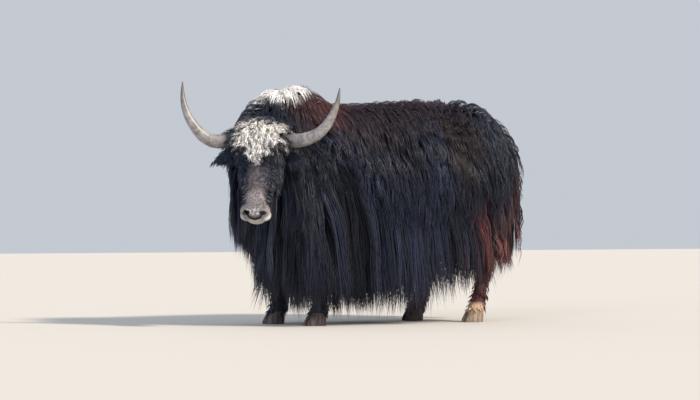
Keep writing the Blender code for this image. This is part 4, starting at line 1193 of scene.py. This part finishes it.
def growCoat(name, options, keep, describe, material):
    # one kind of coat over its part of the body, split so that no piece grows too heavy
    places, normals = spaced(options["guides"], options["rootSeed"], keep, options["gap"])
    lines, outs = combAll(places, normals, options, describe)
    parts = np.array_split(np.argsort(places[:, 1]), options["pieces"])
    for part, chosen in enumerate(parts):
        label = f"{name}{part + 1}" if len(parts) > 1 else name
        pieces.append(growLocks(label, lines[chosen], outs[chosen], options,
                                options["rootSeed"] * 10 + part, material))


print("coat: body")
growCoat("coatBack", shortCoat, bodyPart(isShort), describeShort, longHair)
growCoat("coatFlank", flankCoat, bodyPart(isFlank), describeFlank, longHair)
growCoat("coatRear", rearCoat, bodyPart(isRear), describeRear, longHair)
growCoat("coatCurtain", curtainCoat, bodyPart(isCurtain), describeCurtain, longHair)


# forelock: short woolly curls over the poll and the forehead
forelock = {
    "guides": 370, "children": 11, "steps": 7, "spread": 0.013, "clump": 0.35, "deep": 0.014,
    "wave": 0.004, "turns": 1.0, "drift": 0.008, "uneven": 0.25, "width": 0.0034, "curl": 0.0060,
    "curlTurns": 1.7, "profile": (0.8, 1.0, 1.0, 0.9, 0.7, 0.3), "pieces": 1, "gap": 0.011,
    "seed": 8, "rootSeed": 31,
}


def onForehead(middle, unit):
    spot = headPlace(middle)
    limit = np.interp(spot[:, 0], [-0.13, -0.05, 0.05, 0.12, 0.18], [0.10, 0.15, 0.13, 0.07, 0.02])
    return isHead(middle) & (np.abs(spot[:, 1]) < limit) & (spot[:, 0] < 0.175) \
        & (spot[:, 2] > -0.09)


def describeForelock(draw, root, normal):
    along, aside, _ = headPlace(np.array([root]))[0]
    # longer, darker curls hang over the horn bases, most on the animal's right
    corner = clamp((abs(aside) - 0.070) / 0.030) * (along < 0.06) * (1.0 if aside < 0 else 0.25)
    turn = 0.35 * aside / 0.12 + draw.uniform(-0.6, 0.6) + math.copysign(1.1 * corner, aside)
    lie = muzzleWay * (0.8 - corner * draw.uniform(0.4, 1.7)) + side * turn
    length = draw.uniform(0.055, 0.085) * (0.75 if along > 0.09 else 1.0 + 0.45 * corner)
    return length, 0.022, 0.10, 0.9, alongSkin(lie, normal), 0.0


print("coat: forelock")
growCoat("forelockCurls", forelock, onForehead, describeForelock, shortHair)


# ears: a fringe that hangs from them and makes them look broad
earCoat = {
    "guides": 150, "children": 12, "steps": 4, "spread": 0.013, "clump": 0.25, "deep": 0.006,
    "wave": 0.003, "turns": 1.2, "drift": 0.005, "uneven": 0.30, "width": 0.0036,
    "profile": shortTaper, "pieces": 1, "gap": 0.010, "seed": 15, "rootSeed": 43,
}


def onEar(middle, unit):
    spot = headPlace(middle)
    return isHead(middle) & (np.abs(spot[:, 1]) > 0.135) & (spot[:, 2] < 0.0) & (spot[:, 0] < 0.16)


def describeEar(draw, root, normal):
    hand = math.copysign(1, (root - head["hornLine"]).dot(side))
    lie = side * hand - up * draw.uniform(0.30, 0.60)
    return draw.uniform(0.052, 0.082), 0.005, 0.18, 0.26, alongSkin(lie, normal), 0.0


print("coat: ears")
growCoat("earHair", earCoat, onEar, describeEar, longHair)


# cheeks and jaw: straight hair that lengthens down to the throat
cheekCoat = {
    "guides": 400, "children": 11, "steps": 4, "spread": 0.014, "clump": 0.6, "deep": 0.004,
    "wave": 0.003, "turns": 1.2, "drift": 0.003, "uneven": 0.3, "width": 0.0042,
    "profile": shortTaper, "pieces": 1, "gap": 0.012, "seed": 9, "rootSeed": 41,
}


def eyeDistance(spot):
    # how far head coordinates are from the middle of the nearer eye
    return np.minimum(np.linalg.norm(spot - [eye["along"], eye["side"], eye["out"]], axis=1),
                      np.linalg.norm(spot - [eye["along"], -eye["side"], eye["out"]], axis=1))


def onCheek(middle, unit):
    spot = headPlace(middle)
    inner = np.interp(spot[:, 0], [0.0, 0.12, 0.2, 0.3, 0.38], [0.145, 0.085, 0.062, 0.055, 0.06])
    outside = (np.abs(spot[:, 1]) > inner) | (spot[:, 2] < 0.0) | (spot[:, 0] < 0.02)
    other = onForehead(middle, unit) | onEar(middle, unit)
    return isHead(middle) & ~other & (eyeDistance(spot) > 0.036) & (spot[:, 0] < 0.385) & outside


def describeCheek(draw, root, normal):
    along, _, out = headPlace(np.array([root]))[0]
    length = read(((-0.15, 0.13), (-0.06, 0.075), (0.03, 0.032), (0.08, 0.022)), out)
    if along > 0.30:
        length *= 0.5
    lie = alongSkin(muzzleWay * 0.9 - faceOut * 0.35, normal)
    return length * draw.uniform(0.8, 1.2), 0.004, 0.2, 0.18, lie, 0.0


print("coat: cheeks")
growCoat("cheekHair", cheekCoat, onCheek, describeCheek, longHair)


# face: a short nap down the nose and round the eyes
faceCoat = {
    "guides": 1000, "children": 6, "steps": 2, "spread": 0.008, "clump": 0.2, "deep": 0.001,
    "wave": 0.0, "turns": 1.0, "drift": 0.001, "uneven": 0.3, "width": 0.0026,
    "profile": (0.9, 0.8), "pieces": 1, "gap": 0.0062, "seed": 14, "rootSeed": 45,
}


def onFace(middle, unit):
    spot = headPlace(middle)
    front = (spot[:, 0] > 0.03) & (spot[:, 0] < 0.432) & (spot[:, 2] > 0.0)
    return isHead(middle) & (eyeDistance(spot) > 0.029) & front & (np.abs(spot[:, 1]) < 0.13)


def describeFace(draw, root, normal):
    aside = draw.uniform(-0.25, 0.25) + 2.0 * (root - head["hornLine"]).dot(side)
    lie = alongSkin(muzzleWay + side * aside, normal)
    return draw.uniform(0.011, 0.018), 0.0022, 0.0, 0.22, lie, 0.0


print("coat: face")
growCoat("faceNap", faceCoat, onFace, describeFace, shortHair)


# legs: shaggy to the fetlock, shorter down to the coronet
legCoat = {
    "guides": 760, "children": 8, "steps": 3, "spread": 0.013, "clump": 0.6, "deep": 0.004,
    "wave": 0.002, "turns": 1.0, "drift": 0.003, "uneven": 0.3, "width": 0.0045,
    "profile": (0.8, 1.0, 0.6), "pieces": 1, "gap": 0.012, "seed": 10, "rootSeed": 51,
    "lengths": ((0.05, 0.020), (0.10, 0.035), (0.18, 0.030), (0.35, 0.045), (0.52, 0.075)),
}


def onLeg(middle, unit):
    return isLeg(middle) & (middle[:, 2] > 0.052)


def describeLeg(draw, root, normal):
    length = read(legCoat["lengths"], root.z)
    if normal.y > 0.4:
        length *= 1.5
    lie = alongSkin(Vector((0, 0.12, -1)), normal)
    return length * draw.uniform(0.8, 1.2), 0.004, 0.25, 0.22, lie, 0.0


print("coat: legs")
growCoat("legHair", legCoat, onLeg, describeLeg, longHair)


# tail: long hair from the whole dock
tailCoat = {
    "guides": 130, "children": 12, "steps": 7, "spread": 0.016, "clump": 0.4, "deep": 0.006,
    "wave": 0.010, "turns": 1.6, "drift": 0.008, "uneven": 0.35, "width": 0.0060,
    "profile": (0.8, 1.0, 0.95, 0.8, 0.55, 0.25), "tip": 0.31, "pieces": 1, "gap": 0.011,
    "seed": 12, "rootSeed": 61,
}


def onTail(middle, unit):
    y = np.interp(middle[:, 2], *zip(*sorted((s[1], s[0]) for s in tail["stations"])))
    return (np.abs(middle[:, 0]) < 0.045) & (np.abs(middle[:, 1] - y) < 0.045) \
        & (middle[:, 2] < 1.13) & (middle[:, 1] > 0.90)


def describeTail(draw, root, normal):
    length = (root.z - tailCoat["tip"]) * draw.uniform(0.75, 1.02)
    return length, 0.010, 0.7, 0.06, alongSkin(Vector((0, 0.1, -1)), normal), 0.0


print("coat: tail")
growCoat("tailHair", tailCoat, onTail, describeTail, longHair)
for piece in pieces:
    enter(piece, "coat")


# hide: soft, matt skin with a short nap that carries the coat's own markings; the bare parts have
# patches of their own
hide = {
    "wings": (
        (onHead(0.452, 0.078, 0.010), (0.020, 0.034, 0.040), 0.4, "pale"),
        (onHead(0.452, -0.078, 0.010), (0.020, 0.034, 0.040), 0.4, "pale"),
    ),
    "pad": (onHead(0.456, 0.0, 0.050), (0.042, 0.042, 0.027), 0.25),
    "lips": (onHead(0.500, 0.0, -0.014), (0.074, 0.074, 0.020), 0.35, "pale"),
    # painted highlight: a near-white spot on the left lip corner only, where light catches it
    "paintedLipHighlight": (onHead(0.482, 0.070, 0.0), (0.020, 0.020, 0.022), 0.5, "#cbc8c8"),
    # without a middle, because each is on both sides of the head: the painted shade inside the
    # nostrils and the dark lid rims
    "pit": ((0.0235, 0.0235, 0.0150), 0.15, "#141112"),
    "lidRim": ((0.031, 0.031, 0.031), 0.10, "#17120f"),
    # crease is the colour of the painted shade in the fold under the pad
    "padDark": "#5e5a5a", "padPale": "#a7a3a2", "crease": "#141112", "matt": 0.68, "wet": 0.34,
}


def hideMaterial():
    made, tree, shader = newMaterial("yakHide", hide["matt"], 0.35)
    where = addNode(tree, "ShaderNodeMapping", Vector=objectPlace(tree),
                    Location=(-shift.x, -shift.y, 0)).outputs[0]
    colour = markings(tree, where)
    colour = dab(tree, colour, where, *hide["wings"])
    pad = blob(tree, where, *hide["pad"])
    mottle = ranged(tree, noiseOf(tree, where, 95.0, 4.0), 0.40, 0.62)
    colour = mixColour(tree, pad, colour,
                       mixColour(tree, mottle, hide["padDark"], hide["padPale"]))
    colour = dab(tree, colour, where, hide["lips"], hide["paintedLipHighlight"])
    # painted shade: a dark line under the pad, along the crease that is pressed into the muzzle
    across = maths(tree, "DIVIDE", headAxis(tree, where, side), crease["half"])
    across = maths(tree, "POWER", maths(tree, "ABSOLUTE", across), 2.0)
    under = maths(tree, "MULTIPLY_ADD", across, crease["bow"], headAxis(tree, where, muzzleWay))
    under = maths(tree, "ABSOLUTE", maths(tree, "SUBTRACT", under, crease["along"]))
    creaseShade = product(tree, ranged(tree, under, 0.0080, 0.0040),
                   ranged(tree, headAxis(tree, where, faceOut), 0.000, 0.006),
                   ranged(tree, across, 1.25, 1.05))
    colour = mixColour(tree, creaseShade, colour, hide["crease"])
    # painted shade inside each nostril, and the dark rim of the lids round each eye
    for hand in (1, -1):
        middle = onHead(nostril["along"] + 0.002, nostril["side"] * hand, nostril["out"] - 0.010)
        colour = dab(tree, colour, where, (middle, *hide["pit"]),
                     (eyeCentre(hand), *hide["lidRim"]))
    tree.links.new(ranged(tree, pad, 0.0, 1.0, hide["matt"], hide["wet"]),
                   shader.inputs["Roughness"])
    nap = noiseOf(tree, where, 420.0, 4.0, 0.65)
    lines = noiseOf(tree, where, 85.0)
    coverWith(tree, shader, colour, maths(tree, "ADD", nap, lines), 0.5, 0.0012)
    return made


skin.data.materials.clear()
skin.data.materials.append(hideMaterial())
enter(skin, "coat", "torso", "neck", "head", "tail", "leg_front_left", "leg_front_right",
      "leg_hind_left", "leg_hind_right", "ear_left", "ear_right")


# horns: keratin sheaths, ribbed at the base and polished towards the tip
horns = {
    "left": (
        (0.085, 0.000, -0.010, 0.040), (0.178, -0.004, 0.000, 0.041),
        (0.257, 0.002, 0.022, 0.039), (0.330, 0.031, 0.040, 0.034),
        (0.381, 0.076, 0.048, 0.0285), (0.418, 0.138, 0.046, 0.0225),
        (0.444, 0.212, 0.034, 0.014), (0.455, 0.291, 0.016, 0.003)),
    "right": (
        (0.085, 0.002, -0.010, 0.040), (0.170, -0.004, 0.000, 0.042),
        (0.262, -0.004, 0.022, 0.040), (0.322, 0.026, 0.040, 0.035),
        (0.370, 0.078, 0.048, 0.0295), (0.412, 0.150, 0.046, 0.0235),
        (0.438, 0.236, 0.034, 0.015), (0.444, 0.333, 0.016, 0.003)),
    "rings": 110, "sides": 40, "rib": 0.0011, "ribEnd": 0.62, "grain": 0.00035,
    "grey": "#6f6a68", "pale": "#98938f", "tip": "#4b4645", "base": "#575150",
}


def hornMaterial():
    made, tree, shader = newMaterial("hornKeratin", 0.38, 0.5)
    coords = objectPlace(tree)
    along = attribute(tree, "along")
    streak = addNode(tree, "ShaderNodeTexNoise", Vector=coords, Scale=26.0, Detail=5.0,
                     Distortion=0.6).outputs["Fac"]
    colour = mixColour(tree, ranged(tree, streak, 0.35, 0.68), horns["grey"], horns["pale"])
    colour = mixColour(tree, ranged(tree, along, 0.66, 1.0), colour, horns["tip"])
    colour = mixColour(tree, ranged(tree, along, 0.34, 0.06), colour, horns["base"])
    coverWith(tree, shader, colour, noiseOf(tree, coords, 240.0, 4.0), 0.35, 0.0008)
    return made


def makeHorn(name, table, hand, node):
    stations = between(table, horns["rings"])
    points = [head["hornLine"] + side * a * hand + up * z + forward * f for a, z, f, _ in stations]
    last = len(points) - 1
    bm = bmesh.new()
    rings = []
    for i, (point, across, other) in enumerate(framed(points)):
        share = i / last
        fade = max(0.0, 1 - share / horns["ribEnd"])
        rib = horns["rib"] * fade * math.sin(share * 150 + 2.2 * math.sin(share * 31))
        ring = []
        for a in angles(horns["sides"]):
            grain = horns["grain"] * math.sin(a * 9 + share * 6) * (1 - share)
            reach = max(stations[i][3] * 0.985 + rib + grain, 0.0015)
            ring.append(point + (across * math.cos(a) + other * math.sin(a)) * reach)
        rings.append(ring)
    ringShell(bm, rings)
    layer = bm.verts.layers.float.new("along")
    for i, vert in enumerate(bm.verts):
        vert[layer] = min(1.0, (i // horns["sides"]) / last)
    enter(smoothPiece(name, bm, hornSheath), "horn", node)


print("horns")
hornSheath = hornMaterial()
makeHorn("hornLeft", horns["left"], 1, "horn_left")
makeHorn("hornRight", horns["right"], -1, "horn_right")


# eyes: a wet cornea over a dark brown iris with a level, oval pupil
def eyeMaterial():
    made, tree, shader = newMaterial("eyeCornea", 0.05, 0.7)
    parts = addNode(tree, "ShaderNodeSeparateXYZ", Vector=attribute(tree, "look", "Vector"))
    flat = addNode(tree, "ShaderNodeCombineXYZ", X=parts.outputs[0], Y=parts.outputs[1]).outputs[0]
    radius = vectors(tree, "LENGTH", flat, output="Value")
    colour = mixColour(tree, ranged(tree, radius, 0.60, 0.74), eye["iris"], eye["white"])
    squeezed = vectors(tree, "MULTIPLY", flat, (1.0, 1.9, 1.0))
    pupil = ranged(tree, vectors(tree, "LENGTH", squeezed, output="Value"), 0.44, 0.36)
    tree.links.new(mixColour(tree, pupil, colour, eye["pupil"]), shader.inputs["Base Color"])
    shader.inputs["Coat Weight"].default_value = 1.0
    shader.inputs["Coat Roughness"].default_value = 0.02
    return made


def makeEye(name, hand, node):
    centre, look = eyeCentre(hand), eyeLook(hand)
    level = up.cross(look).normalized()
    rise = look.cross(level)
    bm = bmesh.new()
    bmesh.ops.create_uvsphere(bm, u_segments=48, v_segments=32, radius=1.0)
    layer = bm.verts.layers.float_vector.new("look")
    for vert in bm.verts:
        x, y, z = vert.co
        vert[layer] = (x, y, z)
        bulge = 1.0 + 0.045 * max(0.0, (z - 0.72) / 0.28) ** 1.5
        vert.co = centre + (level * x + rise * y + look * z) * eye["radius"] * bulge
    enter(smoothPiece(name, bm, cornea), "eye", node)


print("eyes")
cornea = eyeMaterial()
makeEye("eyeLeft", 1, "eye_left")
makeEye("eyeRight", -1, "eye_right")


# hooves: two keratin claws a foot, ringed by growth and scuffed by stones
hoof = {
    "length": 0.118, "width": 0.051, "cleft": 0.010, "lean": 0.020,
    # height, share of the full size, share of the lean
    "levels": ((0.0004, 0.985, 0.0), (0.006, 1.0, 0.04), (0.014, 1.0, 0.1), (0.026, 0.96, 0.26),
               (0.040, 0.90, 0.46), (0.054, 0.83, 0.66), (0.066, 0.76, 0.86), (0.073, 0.70, 1.0)),
    "dark": ("#2b2523", "#574b45"), "pale": ("#71604f", "#96836f"),
}


def hoofMaterial(name, lowCode, highCode):
    made, tree, shader = newMaterial(name, 0.55, 0.4)
    streak, band = (addNode(tree, "ShaderNodeMapping", Vector=objectPlace(tree),
                            Scale=scale).outputs[0] for scale in ((60, 60, 8), (3, 3, 180)))
    colour = mixColour(tree, ranged(tree, noiseOf(tree, streak, 1.5, 4.0), 0.35, 0.65), lowCode,
                       highCode)
    coverWith(tree, shader, colour, noiseOf(tree, band, 1.2), 0.4, 0.001)
    return made


def makeClaw(leg, node, name, hand, material):
    x, y = legs[leg][-1][:2]
    centre = Vector((x + hand * (hoof["width"] + hoof["cleft"]) / 2, y - 0.012, 0))
    bm = bmesh.new()
    rings = []
    for z, share, lean in between(hoof["levels"], 22):
        ring = []
        for angle in angles(32):
            reach = hoof["length"] / 2 * (1.07 if math.sin(angle) < 0 else 0.91)
            toeIn = -hand * 0.010 * max(0.0, -math.sin(angle)) ** 2
            inner = 0.92 if math.cos(angle) * hand < 0 else 1.0
            ring.append(centre + Vector((
                math.cos(angle) * hoof["width"] / 2 * share * inner + toeIn,
                math.sin(angle) * reach * share + lean * hoof["lean"], z)))
        rings.append(ring)
    ringShell(bm, rings)
    piece = smoothPiece(name, bm, material)
    piece.data.set_sharp_from_angle(angle=math.radians(50))
    enter(piece, "hoof", node)


print("hooves")
darkClaw = hoofMaterial("clawKeratinDark", *hoof["dark"])
paleClaw = hoofMaterial("clawKeratinPale", *hoof["pale"])
for leg in legs:
    words = "front_" if leg.startswith("front") else "hind_"
    words += "left" if leg.endswith("Left") else "right"
    for toe, hand in (("left", 1), ("right", -1)):
        makeClaw(leg, f"hoof_{words}_{toe}_toe", f"claw{leg[0].upper()}{leg[1:]}{toe.title()}",
                 hand, paleClaw if leg == "hindLeft" else darkClaw)


# floor, light and camera
studio = {"floor": "#cfcbc4", "sky": "#dfe5ee", "skyStrength": 0.75, "key": 4.0, "fill": 1.2}


def addSun(name, strength, where, width, code):
    data = bpy.data.lights.new(name, "SUN")
    data.energy = strength
    data.color = linear(code)[:3]
    data.angle = width
    lamp = bpy.data.objects.new(name, data)
    bpy.context.scene.collection.objects.link(lamp)
    lamp.location = where
    lamp.rotation_euler = (Vector((0, 0, 0.6)) - where).to_track_quat("-Z", "Y").to_euler()


floorMesh = bmesh.new()
bmesh.ops.create_grid(floorMesh, x_segments=1, y_segments=1, size=30.0)
floor = meshObject("floor", floorMesh)
floorMade, _, floorShader = newMaterial("paleFloor", 0.9, 0.2)
floorShader.inputs["Base Color"].default_value = linear(studio["floor"])
floor.data.materials.append(floorMade)

world = bpy.data.worlds.new("studio")
bpy.context.scene.world = world
world.use_nodes = True
world.node_tree.nodes["Background"].inputs[0].default_value = linear(studio["sky"])
world.node_tree.nodes["Background"].inputs[1].default_value = studio["skyStrength"]
addSun("key", studio["key"], Vector((6, 3.2, 6)), 0.12, "#fff2e2")
addSun("fill", studio["fill"], Vector((4, -6, 3)), 0.6, "#dfe8ff")

view = {"azimuth": math.radians(60), "distance": 14.0, "height": 0.6, "focal": 2352.0,
        "wide": 700, "tall": 400, "middle": 373.0, "horizon": 222.0}
toCamera = Vector((math.sin(view["azimuth"]), -math.cos(view["azimuth"]), 0))
rightWay = Vector((math.cos(view["azimuth"]), math.sin(view["azimuth"]), 0))
yaw = math.atan((view["middle"] - view["wide"] / 2) / view["focal"])
pitch = math.atan((view["horizon"] - view["tall"] / 2) / view["focal"])
gaze = (-toCamera * math.cos(yaw) - rightWay * math.sin(yaw)).normalized()
gaze = (gaze * math.cos(pitch) + up * math.sin(pitch)).normalized()
cameraData = bpy.data.cameras.new("camera")
cameraData.sensor_width = 36.0
cameraData.lens = view["focal"] / view["wide"] * cameraData.sensor_width
camera = bpy.data.objects.new("camera", cameraData)
bpy.context.scene.collection.objects.link(camera)
camera.location = toCamera * view["distance"] + up * view["height"] + shift
camera.rotation_euler = gaze.to_track_quat("-Z", "Y").to_euler()
bpy.context.scene.camera = camera
bpy.context.scene.view_settings.view_transform = "Standard"
